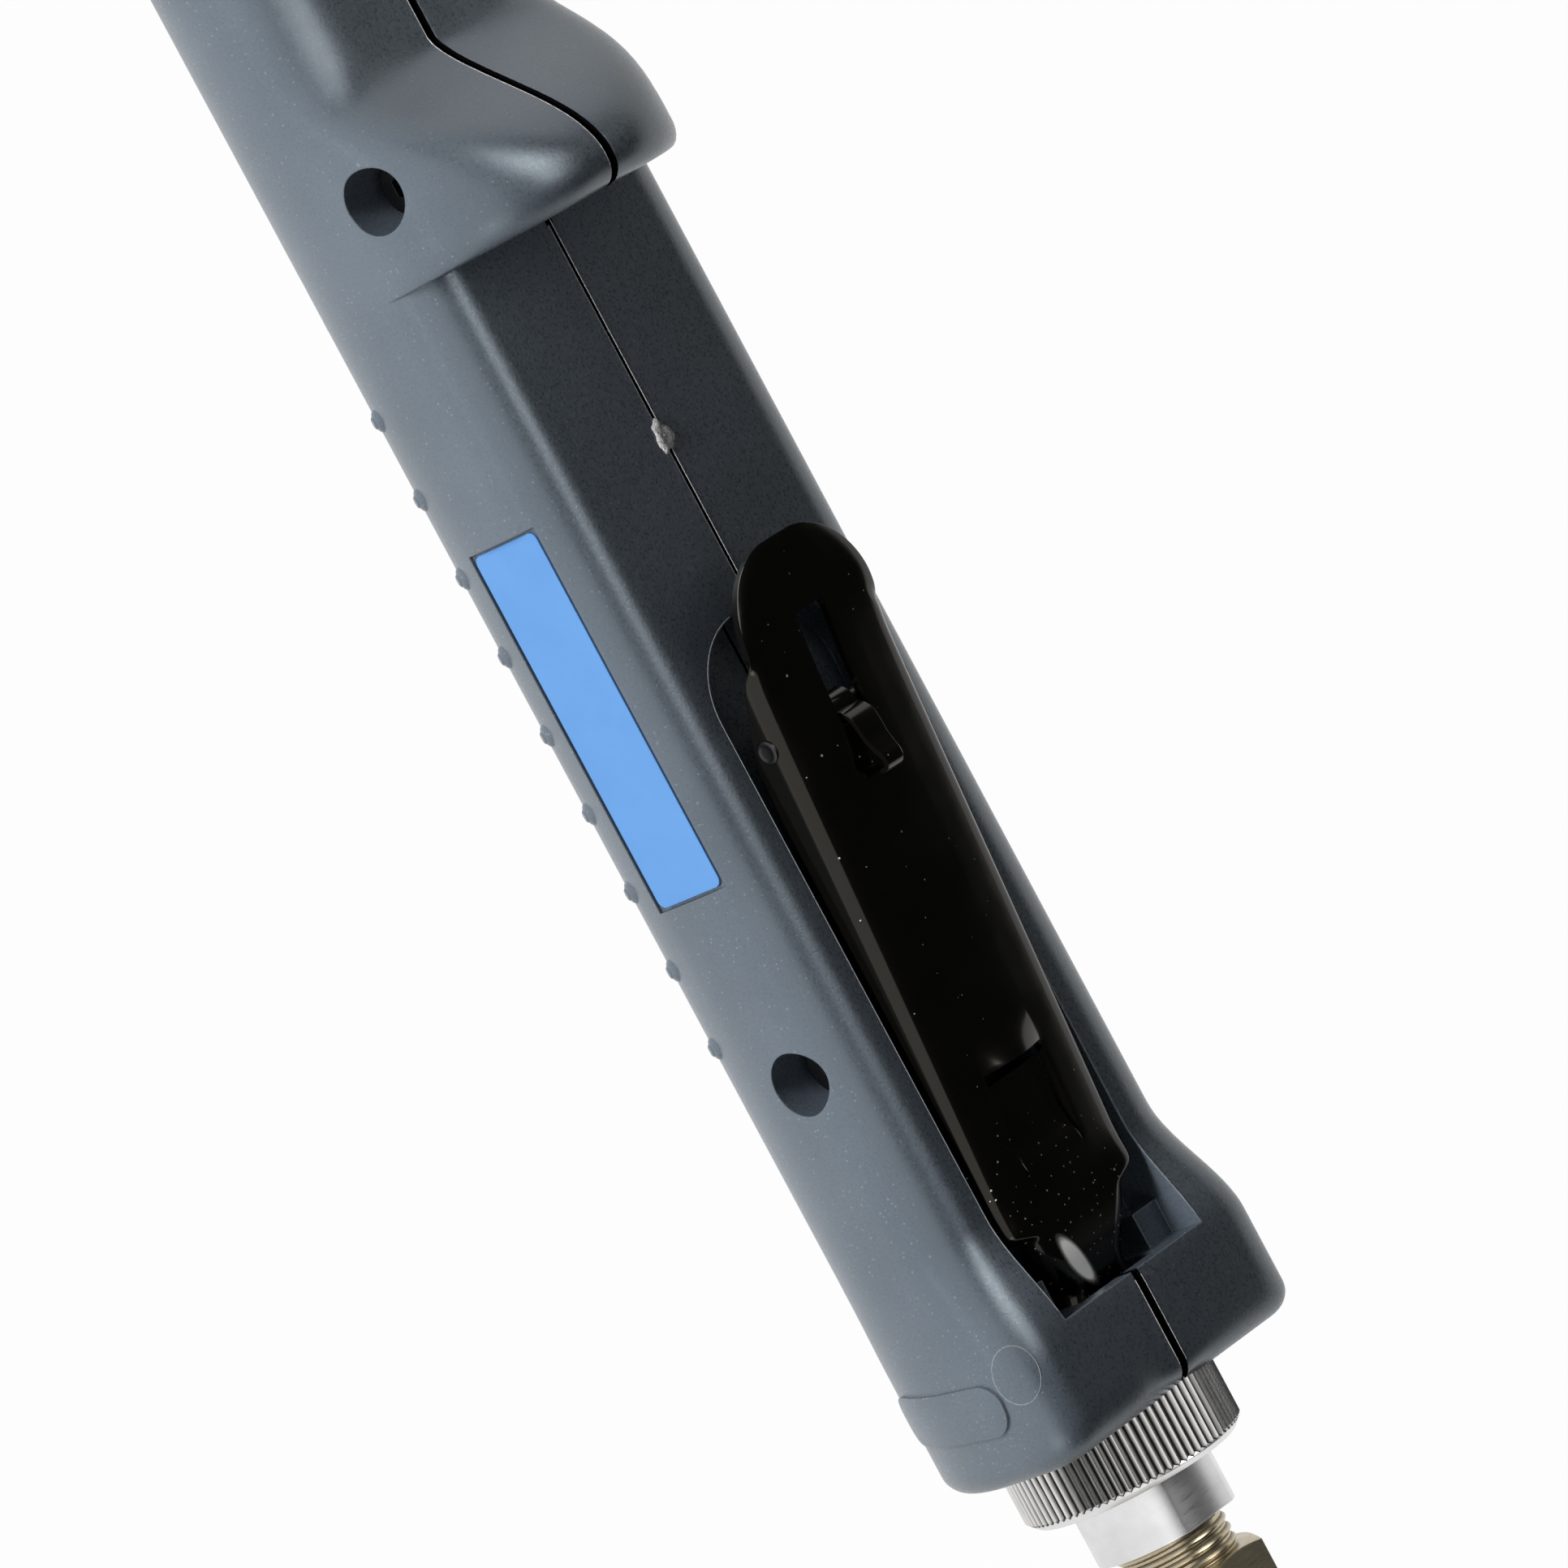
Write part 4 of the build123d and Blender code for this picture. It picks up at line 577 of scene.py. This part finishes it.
class Surface:
    """Finds points on the outside of the housing."""

    def __init__(self):
        self.trees = []
        for name in ("housing_left", "housing_right"):
            mesh = frame["nodes"][name].data
            corners = [v.co / MM for v in mesh.vertices]
            self.trees.append(BVHTree.FromPolygons(corners, [list(p.vertices) for p in mesh.polygons]))

    def hit(self, start, direction):
        """First point that a ray meets, with the normal there."""
        found = [tree.ray_cast(Vector(start), Vector(direction)) for tree in self.trees]
        found = [(distance, place, normal) for place, normal, _, distance in found if place is not None]
        _, place, normal = min(found, key=lambda entry: entry[0])
        return place, normal

    def trail(self, starts, direction):
        """Points that rays meet, with the normals there."""
        found = [self.hit(start, direction) for start in starts]
        return [place for place, _ in found], [normal for _, normal in found]


# Throttle lever: u runs along it from the pivot, y across it and v above the pivot

WINDOW = (76.8, 91.4)
WINDOW_HALF = 2.6
TONGUE_SLIT = (20.7, 33.5)
TONGUE_FRONT = 31.9
TONGUE_DROP = 1.3
LIP_RISE = 1.1
LIP_LENGTH = 4.2
SLIT = (5.15, 5.45)
REAR_HALF = 5.9
NECK_HALF = 9.4
REAR_DEPTH = 2.7
REAR_DROP = 1.3
HEAD_DEPTH = 1.5
HEAD_RISE = 0.35
HEAD_ROLL = 0.3
HEAD_ROLL_WIDTH = 2.4
CURL_RADIUS = 2.75
CURL_STEPS = 14
CURL_STEP_ANGLE = 20.0
EDGE_CREASE = 0.75

# Stretches of u over which a measure goes from one value to the next
NECK_WIDENS = (4.5, 14.0)
HEEL_WIDENS = (13.9, 15.3)
HEEL_DEEPENS = (14.0, 16.6)
BEND_TIGHTENS = (12.0, 16.0)
REAR_FOLDS = (2.8, 5.4)
REAR_RISES = (5.5, 13.5)
CROWN_STARTS = (14.0, 20.0)
TONGUE_DROPS = (21.0, 25.0)
TOE_FLATTENS = (78.0, 88.0)
HEAD_RISES = (84.0, 92.0)
HEAD_UNFOLDS = (86.6, 89.6)
HEAD_ROUNDS = (86.8, 89.6)
HEAD_ROLLS = (87.0, 90.0)

# The mesh: columns from the middle out, of which the first are cut by window and slits, and rows along u
INNER_COLUMNS = (0.0, 1.3, WINDOW_HALF, 3.9, 4.95, SLIT[0], SLIT[1], 5.65)
INNER_SHARE = 0.95
WINDOW_COLUMN = INNER_COLUMNS.index(WINDOW_HALF)
SLIT_COLUMN = INNER_COLUMNS.index(SLIT[0])
OUTER_COLUMNS = 9
FLAT_SHARE = 0.8
LEVER_STATIONS = (
    3.0, 4.2, 5.4, 6.8, 8.4, 10.0, 11.6, 12.8, 13.6, 14.2, 14.7, 15.2, 16.0, 17.0, 18.2, 19.6, 20.7,
    21.6, 22.6, 23.6, 24.8, 26.4, 28.4, 30.6, 31.9, 33.5, 34.1, 34.8, 35.6, 36.6, 38.0, 40.0, 44.0,
    48.0, 52.0, 56.0, 60.0, 64.0, 68.0, 72.0, 74.5, 75.9, 76.8, 77.7, 79.5, 81.0, 83.0, 85.0, 86.6,
    87.8, 88.8, 89.6, 90.4, 91.4, 92.4, 93.4, 94.4, 95.5, 96.6, 97.6, 98.4, 99.1, 99.65, 100.05,
    100.35, 100.55)


def lever_point(u, y, v):
    """Point on the resting lever: u along it from the pivot, y across, v above the pivot."""
    slope = radians(LEVER_SLOPE)
    return (PIVOT_X + u * cos(slope) - v * sin(slope), y, PIVOT_Z + u * sin(slope) + v * cos(slope))


def lever_half(u):
    """Half the width: a neck at the rear, then the channel, then the round head."""
    neck = REAR_HALF + (NECK_HALF - REAR_HALF) * eased(u, *NECK_WIDENS)
    body = neck + (CHANNEL_HALF - NECK_HALF) * eased(u, *HEEL_WIDENS)
    ahead = max(0.0, u - LEVER_TIP + HEAD_CORNER)
    head = HEAD_HALF - HEAD_CORNER + sqrt(HEAD_CORNER ** 2 - ahead ** 2)
    return body + (head - body) * eased(u, *HEAD_ROUNDS)


def lever_depth(u):
    """How far the rolled edge or flange hangs below the top."""
    heel = ramp(u, *HEEL_DEEPENS)
    depth = REAR_DEPTH + (SKIRT - REAR_DEPTH) * sqrt(1.0 - (1.0 - heel) ** 2)
    return depth + (HEAD_DEPTH - depth) * ramp(u, *TOE_FLATTENS)


def head_inset(u, y):
    """Distance from the rim of the head."""
    ahead = u - LEVER_TIP + HEAD_CORNER
    aside = abs(y) - HEAD_HALF + HEAD_CORNER
    if ahead > 0.0 and aside > 0.0:
        return HEAD_CORNER - hypot(ahead, aside)
    return min(LEVER_TIP - u, HEAD_HALF - abs(y))


def lever_section(u):
    """Columns from the middle to the edge at one station, as (y, drop)."""
    half = lever_half(u)
    depth = lever_depth(u)
    bend = REAR_BEND + (CHANNEL_BEND - REAR_BEND) * eased(u, *BEND_TIGHTENS)
    turn = acos(max(0.0, 1.0 - depth / bend))
    hang = max(0.0, depth - bend)
    folded_flat = half - bend * sin(turn)
    length = bend * turn + hang
    flat_weight = max(1.0 - eased(u, *REAR_FOLDS), eased(u, *HEAD_UNFOLDS))
    flat = folded_flat + (FLAT_SHARE * half - folded_flat) * flat_weight
    scale = min(1.0, INNER_SHARE * flat / INNER_COLUMNS[-1])
    columns = [(y * scale, 0.0) for y in INNER_COLUMNS] + [(flat, 0.0)]
    for index in range(1, OUTER_COLUMNS + 1):
        share = index / OUTER_COLUMNS
        along = length * share
        angle = min(turn, along / bend)
        folded_y = folded_flat + bend * sin(angle)
        folded_drop = bend * (1.0 - cos(angle)) + max(0.0, along - bend * turn)
        spread_y = half * (FLAT_SHARE + (1.0 - FLAT_SHARE) * share)
        columns.append((folded_y + (spread_y - folded_y) * flat_weight, folded_drop * (1.0 - flat_weight)))
    roll = HEAD_ROLL * eased(u, *HEAD_ROLLS)
    if roll > 0.0:
        columns = [(y, drop + roll * max(0.0, 1.0 - head_inset(u, y) / HEAD_ROLL_WIDTH) ** 2)
                   for y, drop in columns]
    return columns


def lever_top(u, y):
    """Height of the top skin, with the sprung tongue over the valve and the raised lip in front of it."""
    across = abs(y)
    head = eased(u, *HEAD_RISES)
    height = LEVER_TOP - REAR_DROP * (1.0 - eased(u, *REAR_RISES))
    height -= CROWN * eased(u, *CROWN_STARTS) * (1.0 - head) * (across / CHANNEL_HALF) ** 2
    height += HEAD_RISE * head
    if across <= SLIT[0] and TONGUE_SLIT[0] <= u <= TONGUE_FRONT:
        height -= TONGUE_DROP * eased(u, *TONGUE_DROPS)
    if across <= SLIT[1] and u >= TONGUE_SLIT[1]:
        fall = max(0.0, 1.0 - (u - TONGUE_SLIT[1]) / LIP_LENGTH)
        height += LIP_RISE * (1.0 - (across / SLIT[1]) ** 2) * fall
    return height


def throttle_lever():
    """Folded sheet with rolled edges, window and lanced tongue, curled round its pin at the rear."""
    rear = [y for y, _ in lever_section(LEVER_STATIONS[0])]
    rear = [-y for y in rear[:0:-1]] + rear
    rows = []
    for step in range(CURL_STEPS, 0, -1):
        angle = radians(CURL_STEP_ANGLE * step)
        rows.append([lever_point(-CURL_RADIUS * sin(angle), y, CURL_RADIUS * cos(angle)) for y in rear])
    for u in LEVER_STATIONS:
        half = lever_section(u)
        whole = [(-y, drop) for y, drop in half[:0:-1]] + half
        rows.append([lever_point(u, y, lever_top(u, y) - drop) for y, drop in whole])
    points, faces = skin(rows, False)
    count = len(rows[0])
    middle = count // 2
    kept = []
    for face in faces:
        row = face[0] // count - CURL_STEPS
        column = face[0] % count
        inner = column - middle if column >= middle else middle - 1 - column
        u = LEVER_STATIONS[row] if row >= 0 else 0.0
        in_window = inner < WINDOW_COLUMN and WINDOW[0] <= u < WINDOW[1]
        in_gap = inner < SLIT_COLUMN and TONGUE_FRONT <= u < TONGUE_SLIT[1]
        in_slit = inner == SLIT_COLUMN and TONGUE_SLIT[0] <= u < TONGUE_SLIT[1]
        if not (in_window or in_gap or in_slit):
            kept.append(face)
    made = piece("lever_sheet", points, turned_over(kept), "black_lever", "lever")
    thick = made.modifiers.new("sheet", "SOLIDIFY")
    thick.thickness = SHEET * MM
    thick.offset = -1.0
    thick.use_even_offset = True
    thick.edge_crease_outer = EDGE_CREASE
    thick.edge_crease_inner = EDGE_CREASE
    soft = made.modifiers.new("soft", "SUBSURF")
    soft.levels = 1
    soft.render_levels = 1
    crisp(made)
    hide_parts("throttle_lever")


def smooth_path(corners, steps):
    """Points of a smooth curve through the corners."""
    ends = [corners[0]] + list(corners) + [corners[-1]]
    result = []
    for a, b, c, d in zip(ends, ends[1:], ends[2:], ends[3:]):
        for step in range(steps):
            t = step / steps
            point = []
            for p, q, r, s in zip(a, b, c, d):
                curved = (2 * p - 5 * q + 4 * r - s) * t * t
                point.append(0.5 * (2 * q + (r - p) * t + curved + (3 * q - p - 3 * r + s) * t ** 3))
            result.append(tuple(point))
    return result + [corners[-1]]


# Lock latch and its pin: the strip's middle line as (u, v), and profiles as (along the pin, radius)

LATCH_PATH = (
    (79.3, -7.0), (78.9, -3.0), (78.7, 1.5), (78.5, 3.4), (77.5, 4.7), (76.0, 5.2),
    (74.5, 5.5), (73.1, 6.1), (72.1, 6.6), (71.2, 6.6), (70.7, 6.0), (70.6, 5.2))
LATCH_PATH_STEPS = 6
LATCH_HALF_THICKNESS = 0.32
LATCH_HALF = 2.0
LATCH_TAPER = 0.6
LATCH_TAPERS = (0.35, 0.9)
LATCH_CORNER = 0.1
LATCH_CORNER_LIFT = 0.8
EYE_PROFILE = ((-2.2, 1.3), (-2.2, 2.1), (-2.0, 2.35), (2.0, 2.35), (2.2, 2.1), (2.2, 1.3))
PIN_END_PROFILE = (
    (12.1, 1.5), (12.42, 1.48), (12.56, 1.3), (12.56, 1.02), (12.46, 0.9), (12.42, 0.75), (12.42, 0.0))
PIN_STEPS = 32


def about_pin(along, across, up):
    """Point about the latch pin's line."""
    return lever_point(PIN_U + across, along, PIN_V + up)


def lock_latch():
    """Bent strip: a stop foot below, and above the window a thumb tab in a soft S with a rolled end."""
    path = smooth_path(LATCH_PATH, LATCH_PATH_STEPS)
    last = len(path) - 1
    taper = [share * len(path) for share in LATCH_TAPERS]
    rings = []
    for index, (u, v) in enumerate(path):
        before, after = path[max(0, index - 1)], path[min(last, index + 1)]
        along = Vector((after[0] - before[0], after[1] - before[1])).normalized()
        side = Vector((-along.y, along.x)) * LATCH_HALF_THICKNESS
        half = LATCH_HALF - LATCH_TAPER * eased(index, *taper)
        inner = half - LATCH_CORNER
        section = ((-half, -LATCH_CORNER_LIFT), (-half, LATCH_CORNER_LIFT), (-inner, 1.0), (inner, 1.0),
                   (half, LATCH_CORNER_LIFT), (half, -LATCH_CORNER_LIFT), (inner, -1.0), (-inner, -1.0))
        rings.append([lever_point(u + side.x * lift, y, v + side.y * lift) for y, lift in section])
    points, faces = skin(rings, True, True)
    made = piece("latch_strip", points, faces, "black_lever", "latch")
    crisp(made)
    points, faces = lathe(EYE_PROFILE, about_pin, PIN_STEPS)
    crisp(piece("latch_eye", points, faces, "black_lever", "latch"))
    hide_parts("lock_latch")


def pin_ends():
    """Riveted ends of the latch pin on both flanges."""
    for name, side in (("pin_end_left", 1.0), ("pin_end_right", -1.0)):
        profile = [(side * along, radius) for along, radius in PIN_END_PROFILE]
        points, faces = lathe(profile, about_pin, PIN_STEPS)
        crisp(piece(name, points, faces if side < 0.0 else turned_over(faces), "black_steel", "lever"))


# Small forms on the housing, the collar and the nipple

STUD_PROFILE = ((-0.1, 1.55), (0.16, 1.4), (0.36, 1.15), (0.50, 0.8), (0.57, 0.4), (0.58, 0.0))
STUD_STEPS = 24
STUD_ANGLE = 33.0
STUD_COUNT = 9
STUD_FIRST_X = 109.9
STUD_SPACING = 10.3

LABEL_CORNER = 1.1
LABEL_CORNER_STEPS = 6
LABEL_SOFT_EDGE = 0.06
LABEL_FACE_INSET = 0.5

THREAD_STEPS_PER_TURN = 40
THREAD_FADE_STEPS = 12.0
THREAD_FOOT_RADIUS = 6.5
THREAD_ROOT_RADIUS = 6.58
THREAD_RISE = 0.42
THREAD_HALF_FOOT = 0.6
THREAD_HALF_CREST = 0.1

COLLAR_RIM_PROFILE = (
    (42.6, 12.9), (42.5, 13.70), (42.1, 13.78), (41.5, 13.2), (41.36, 13.0), (41.36, 12.2))
COLLAR_RIM_STEPS = 96

# Flash and witness mark: rays from outside find the surface. Trails along the parting line are
# (name, y, first x, last x), and the pocket's rim is straight and then turns a corner
RAY_TOP = 60.0
FLASH_WIDTH = 0.16
FLASH_HEIGHT = 0.06
FLASH_STEP = 1.2
SEAM_TRAILS = (("bridge", -SEAM_WIDE, 52.5, 63.8), ("bridge_left", SEAM_WIDE, 52.5, 63.6),
               ("grip", -0.3, 155.2, 203.6), ("front", SEAM_WIDE, 205.0, 255.6))
RIM_FIRST_X = 66.0
RIM_STEP = 2.0
RIM_COUNT = 39
RIM_CORNER_X = 143.5
RIM_CORNER_Y = 3.3
RIM_CORNER = 10.12
RIM_CORNER_TURNS = range(0, 90, 6)
LEDGE_X = 68.95
LEDGE_Y = (9.0, 10.0, 11.0, 12.0, 13.2)
WITNESS_PLACE = (62.3, 22.5, 13.9)
WITNESS_FACING = (0.13, 0.76, 0.64)
WITNESS_HALF_WIDTH = 3.5
WITNESS_HALF_HEIGHT = 2.7
WITNESS_STEPS = 48
WITNESS_RAY = 6.0

# Gate mark: rings as (share of its size, height), ripples of its outline as (depth, waves, start),
# and the roughness of its face, whose waves turn from ring to ring
GATE_X = 175.4
GATE_HALF_LENGTH = 2.0
GATE_HALF_WIDTH = 1.45
GATE_STEPS = 28
GATE_RINGS = ((1.0, -0.03), (0.9, 0.2), (0.6, 0.34), (0.25, 0.2), (0.02, 0.28))
GATE_RIPPLES = ((0.16, 3, 0.6), (0.09, 7, 1.9))
GATE_ROUGH = 0.12
GATE_ROUGH_WAVES = 5
GATE_ROUGH_TURN = 9


def grip_studs():
    """Low domes along both lower edges of the grip."""
    angle = radians(STUD_ANGLE)
    for name, side in (("grip_studs_left", 1.0), ("grip_studs_right", -1.0)):
        normal = Vector((0.0, side * cos(angle), -sin(angle)))
        across = Vector((0.0, side * sin(angle), cos(angle)))
        base = side * (GRIP_HALF_WIDTH - GRIP_BOTTOM_RADIUS)
        points, faces = [], []
        for index in range(STUD_COUNT):
            foot = Vector((STUD_FIRST_X + STUD_SPACING * index, base, GRIP_BOTTOM + GRIP_BOTTOM_RADIUS))
            foot += normal * GRIP_BOTTOM_RADIUS
            dome, sides = lathe(
                STUD_PROFILE,
                lambda out, ahead, lift: foot + normal * out + Vector((ahead, 0, 0)) + across * lift,
                STUD_STEPS)
            outside = sides if side > 0.0 else turned_over(sides)
            faces += [tuple(k + len(points) for k in face) for face in outside]
            points += dome
        piece(name, points, faces, "housing_plastic", "housing")


def label_outline(inset, y):
    """Outline of the label with round corners, drawn in by an inset."""
    rear, front = LABEL_X[0] + LABEL_CORNER, LABEL_X[1] - LABEL_CORNER
    low, high = LABEL_Z[0] + LABEL_CORNER, LABEL_Z[1] - LABEL_CORNER
    radius = LABEL_CORNER - inset
    outline = []
    for quarter, (x, z) in enumerate(((front, high), (rear, high), (rear, low), (front, low))):
        for step in range(LABEL_CORNER_STEPS + 1):
            turn = radians(90 * (quarter + step / LABEL_CORNER_STEPS))
            outline.append((x + radius * cos(turn), y, z + radius * sin(turn)))
    return outline


def label_plate():
    """Plain plate with small round corners and a softened edge."""
    foot, face = LABEL_Y
    rings = [label_outline(0.0, foot), label_outline(0.0, face - LABEL_SOFT_EDGE),
             label_outline(LABEL_SOFT_EDGE, face), label_outline(LABEL_FACE_INSET, face)]
    points, faces = skin(rings, True, True)
    made = piece("label_sheet", points, faces, "label_film", "housing")
    crisp(made)
    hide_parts("label_plate")


def pipe_thread():
    """Helical ridge on the shown part of the nipple's thread."""
    rings = []
    total = int(THREAD_STEPS_PER_TURN * THREAD_LENGTH / THREAD_PITCH)
    for step in range(total + 1):
        angle = 2.0 * pi * step / THREAD_STEPS_PER_TURN
        x = THREAD_START + THREAD_LENGTH * step / total
        fade = min(1.0, step / THREAD_FADE_STEPS, (total - step) / THREAD_FADE_STEPS)
        crest = THREAD_ROOT_RADIUS + THREAD_RISE * fade
        section = ((-THREAD_HALF_FOOT, THREAD_FOOT_RADIUS), (-THREAD_HALF_CREST, crest),
                   (THREAD_HALF_CREST, crest), (THREAD_HALF_FOOT, THREAD_FOOT_RADIUS))
        rings.append([(x + shift, radius * cos(angle), radius * sin(angle)) for shift, radius in section])
    points, faces = skin(rings, False)
    piece("pipe_thread", points, faces, "nickel_brass", "housing", THREAD)


def collar_rim():
    """Smooth cone that the knurl runs out on."""
    def about_tool(along, across, up):
        return (along, across, up)
    points, faces = lathe(COLLAR_RIM_PROFILE, about_tool, COLLAR_RIM_STEPS)
    crisp(piece("collar_rim", points, faces, "bright_collar", "deflector"))


def witness_ring(surface):
    """Faint ejector mark on the tail's shoulder."""
    normal = Vector(WITNESS_FACING).normalized()
    along = normal.cross(UP).cross(normal).normalized()
    across = normal.cross(along)
    outside = Vector(WITNESS_PLACE) + normal * WITNESS_RAY
    turns = [2 * pi * step / WITNESS_STEPS for step in range(WITNESS_STEPS)]
    starts = [outside + across * WITNESS_HALF_WIDTH * cos(turn) + along * WITNESS_HALF_HEIGHT * sin(turn)
              for turn in turns]
    path, normals = surface.trail(starts, -normal)
    points, faces = ridge(path, normals, FLASH_WIDTH, FLASH_HEIGHT, True)
    piece("witness_ring", points, faces, "housing_plastic", "housing", FLASH)


def mould_flash(surface):
    """Fine pale edges that the mould left along the parting line and the pocket's rim."""
    trails = {}
    for name, aside, first, last in SEAM_TRAILS:
        steps = int((last - first) / FLASH_STEP) + 1
        trails["seam_" + name] = [(first + (last - first) * k / steps, aside) for k in range(steps + 1)]
    for mark, side in (("r", -1.0), ("l", 1.0)):
        half = RIM_CORNER_Y + RIM_CORNER
        rim = [(RIM_FIRST_X + RIM_STEP * k, side * half) for k in range(RIM_COUNT)]
        for turn in RIM_CORNER_TURNS:
            aside = RIM_CORNER_Y + RIM_CORNER * cos(radians(turn))
            rim.append((RIM_CORNER_X + RIM_CORNER * sin(radians(turn)), side * aside))
        trails["pocket_" + mark] = rim
        trails["ledge_" + mark] = [(LEDGE_X, side * y) for y in LEDGE_Y]
    for name, spots in trails.items():
        path, normals = surface.trail([(x, y, RAY_TOP) for x, y in spots], DOWN)
        points, faces = ridge(path, normals, FLASH_WIDTH, FLASH_HEIGHT)
        pale = SEAM_FLASH if name.startswith("seam") else FLASH
        piece("flash_" + name, points, faces, "housing_plastic", "housing", pale)


def gate_mark():
    """Rough pale patch where the moulding gate was cut off."""
    rings = []
    for share, height in GATE_RINGS:
        ring = []
        for step in range(GATE_STEPS):
            turn = 2 * pi * step / GATE_STEPS
            ripple = sum(depth * sin(waves * turn + start) for depth, waves, start in GATE_RIPPLES)
            radius = share * (1.0 + ripple)
            rough = GATE_ROUGH * sin(GATE_ROUGH_WAVES * turn + GATE_ROUGH_TURN * share) * share
            ahead = GATE_HALF_LENGTH * radius * cos(turn)
            aside = GATE_HALF_WIDTH * radius * sin(turn)
            ring.append((GATE_X + ahead, aside, GRIP_TOP + height + rough))
        rings.append(ring)
    points, faces = skin(rings, True)
    piece("gate_mark", points, faces, "housing_plastic", "housing", SCUFF)


def add_pieces():
    """All the pieces that the solids lack, or that stand for one of them."""
    surface = Surface()
    throttle_lever()
    lock_latch()
    pin_ends()
    grip_studs()
    label_plate()
    pipe_thread()
    collar_rim()
    witness_ring(surface)
    mould_flash(surface)
    gate_mark()


# Stage, light and camera

WHITE = (1.0, 1.0, 1.0, 1.0)


def board(name, size, place, facing):
    """Rectangle in the scene that faces a direction."""
    wide, deep = size[0] / 2.0, size[1] / 2.0
    mesh = bpy.data.meshes.new(name)
    corners = [(-wide, -deep, 0.0), (wide, -deep, 0.0), (wide, deep, 0.0), (-wide, deep, 0.0)]
    mesh.from_pydata(corners, [], [(0, 1, 2, 3)])
    made = bpy.data.objects.new(name, mesh)
    made.location = place
    made.rotation_euler = facing.to_track_quat("Z", "Y").to_euler()
    bpy.context.scene.collection.objects.link(made)
    return made


def seen(tree):
    """1 for rays that show the background itself."""
    path = tree.nodes.new("ShaderNodeLightPath")
    shiny = calc(tree, "MAXIMUM", path.outputs["Is Glossy Ray"], path.outputs["Is Transmission Ray"])
    return calc(tree, "MAXIMUM", path.outputs["Is Camera Ray"], shiny)


def stage():
    """Pale floor that the camera sees white but for the shadow, and a dark card that shows in gloss."""
    low = min(CAD_BOX[0][2], CAD_BOX[1][2])
    floor = board("floor", FLOOR_SIZE, Vector((AIM.x, 0.0, low)), UP)
    pale = bpy.data.materials.new("floor_white")
    tree, output = blank_tree(pale, "Material")
    lit = node(tree, "BsdfDiffuse", Color=(FLOOR_GREY, FLOOR_GREY, FLOOR_GREY, 1.0))
    white = node(tree, "Emission", Color=WHITE, Strength=1.0)
    both = tree.nodes.new("ShaderNodeMixShader")
    tree.links.new(calc(tree, "MULTIPLY", seen(tree), FLOOR_WHITE_SHARE), both.inputs[0])
    tree.links.new(lit.outputs["BSDF"], both.inputs[1])
    tree.links.new(white.outputs["Emission"], both.inputs[2])
    tree.links.new(both.outputs["Shader"], output.inputs["Surface"])
    floor.data.materials.append(pale)

    card = board("dark_ceiling", CEILING_SIZE, Vector(CEILING_PLACE), DOWN)
    card.data.materials.append(MATERIALS["black_rubber"])
    card.visible_camera = False
    card.visible_diffuse = False
    card.visible_shadow = False


def lamp(name, place, size, power, level=False, mirrored=True, lights_up=True):
    """Rectangular light that faces the tool, or straight down where it is level."""
    glow = bpy.data.lights.new(name, "AREA")
    glow.shape = "RECTANGLE"
    glow.size, glow.size_y = size
    glow.energy = power
    holder = bpy.data.objects.new(name, glow)
    holder.location = place
    away = UP if level else Vector(place) - AIM
    holder.rotation_euler = away.to_track_quat("Z", "Y").to_euler()
    holder.visible_glossy = mirrored
    holder.visible_diffuse = lights_up
    bpy.context.scene.collection.objects.link(holder)


def light():
    """Dim world that the camera sees white, a key light, two that only show in gloss, and a kicker."""
    world = bpy.data.worlds.new("studio")
    bpy.context.scene.world = world
    tree, output = blank_tree(world, "World")
    sky = node(tree, "Background", Color=WHITE, Strength=spread(tree, seen(tree), AMBIENT, 1.0))
    tree.links.new(sky.outputs["Background"], output.inputs["Surface"])
    lamp("key", KEY_PLACE, KEY_SIZE, KEY_POWER, mirrored=False)
    lamp("strip", STRIP_PLACE, STRIP_SIZE, STRIP_POWER, level=True, lights_up=False)
    lamp("panel", PANEL_PLACE, PANEL_SIZE, PANEL_POWER, level=True, lights_up=False)
    lamp("kicker", KICKER_PLACE, KICKER_SIZE, KICKER_POWER)


def camera():
    """Camera at the photograph's angles, rolled so that the tool lies across the frame as it does there."""
    azimuth = radians(AZIMUTH)
    elevation = radians(ELEVATION)
    back = Vector((cos(elevation) * cos(azimuth), cos(elevation) * sin(azimuth), sin(elevation)))
    level = UP.cross(back).normalized()
    rise = back.cross(level)
    right = level * cos(radians(ROLL)) + rise * sin(radians(ROLL))
    up = back.cross(right)
    lens = bpy.data.cameras.new("camera")
    lens.sensor_width = SENSOR
    lens.sensor_fit = "HORIZONTAL"
    lens.lens = SENSOR * DISTANCE / FRAME_WIDTH
    lens.clip_start = CLIP_NEAR
    lens.clip_end = CLIP_FAR
    holder = bpy.data.objects.new("camera", lens)
    turn = Matrix((right, up, back)).transposed().to_4x4()
    place = AIM + right * AIM_RIGHT + up * AIM_UP + back * DISTANCE
    holder.matrix_world = Matrix.Translation(place) @ turn
    bpy.context.scene.collection.objects.link(holder)
    bpy.context.scene.camera = holder
    bpy.context.scene.view_settings.view_transform = "Standard"


dress_solids()
add_pieces()
stage()
light()
camera()
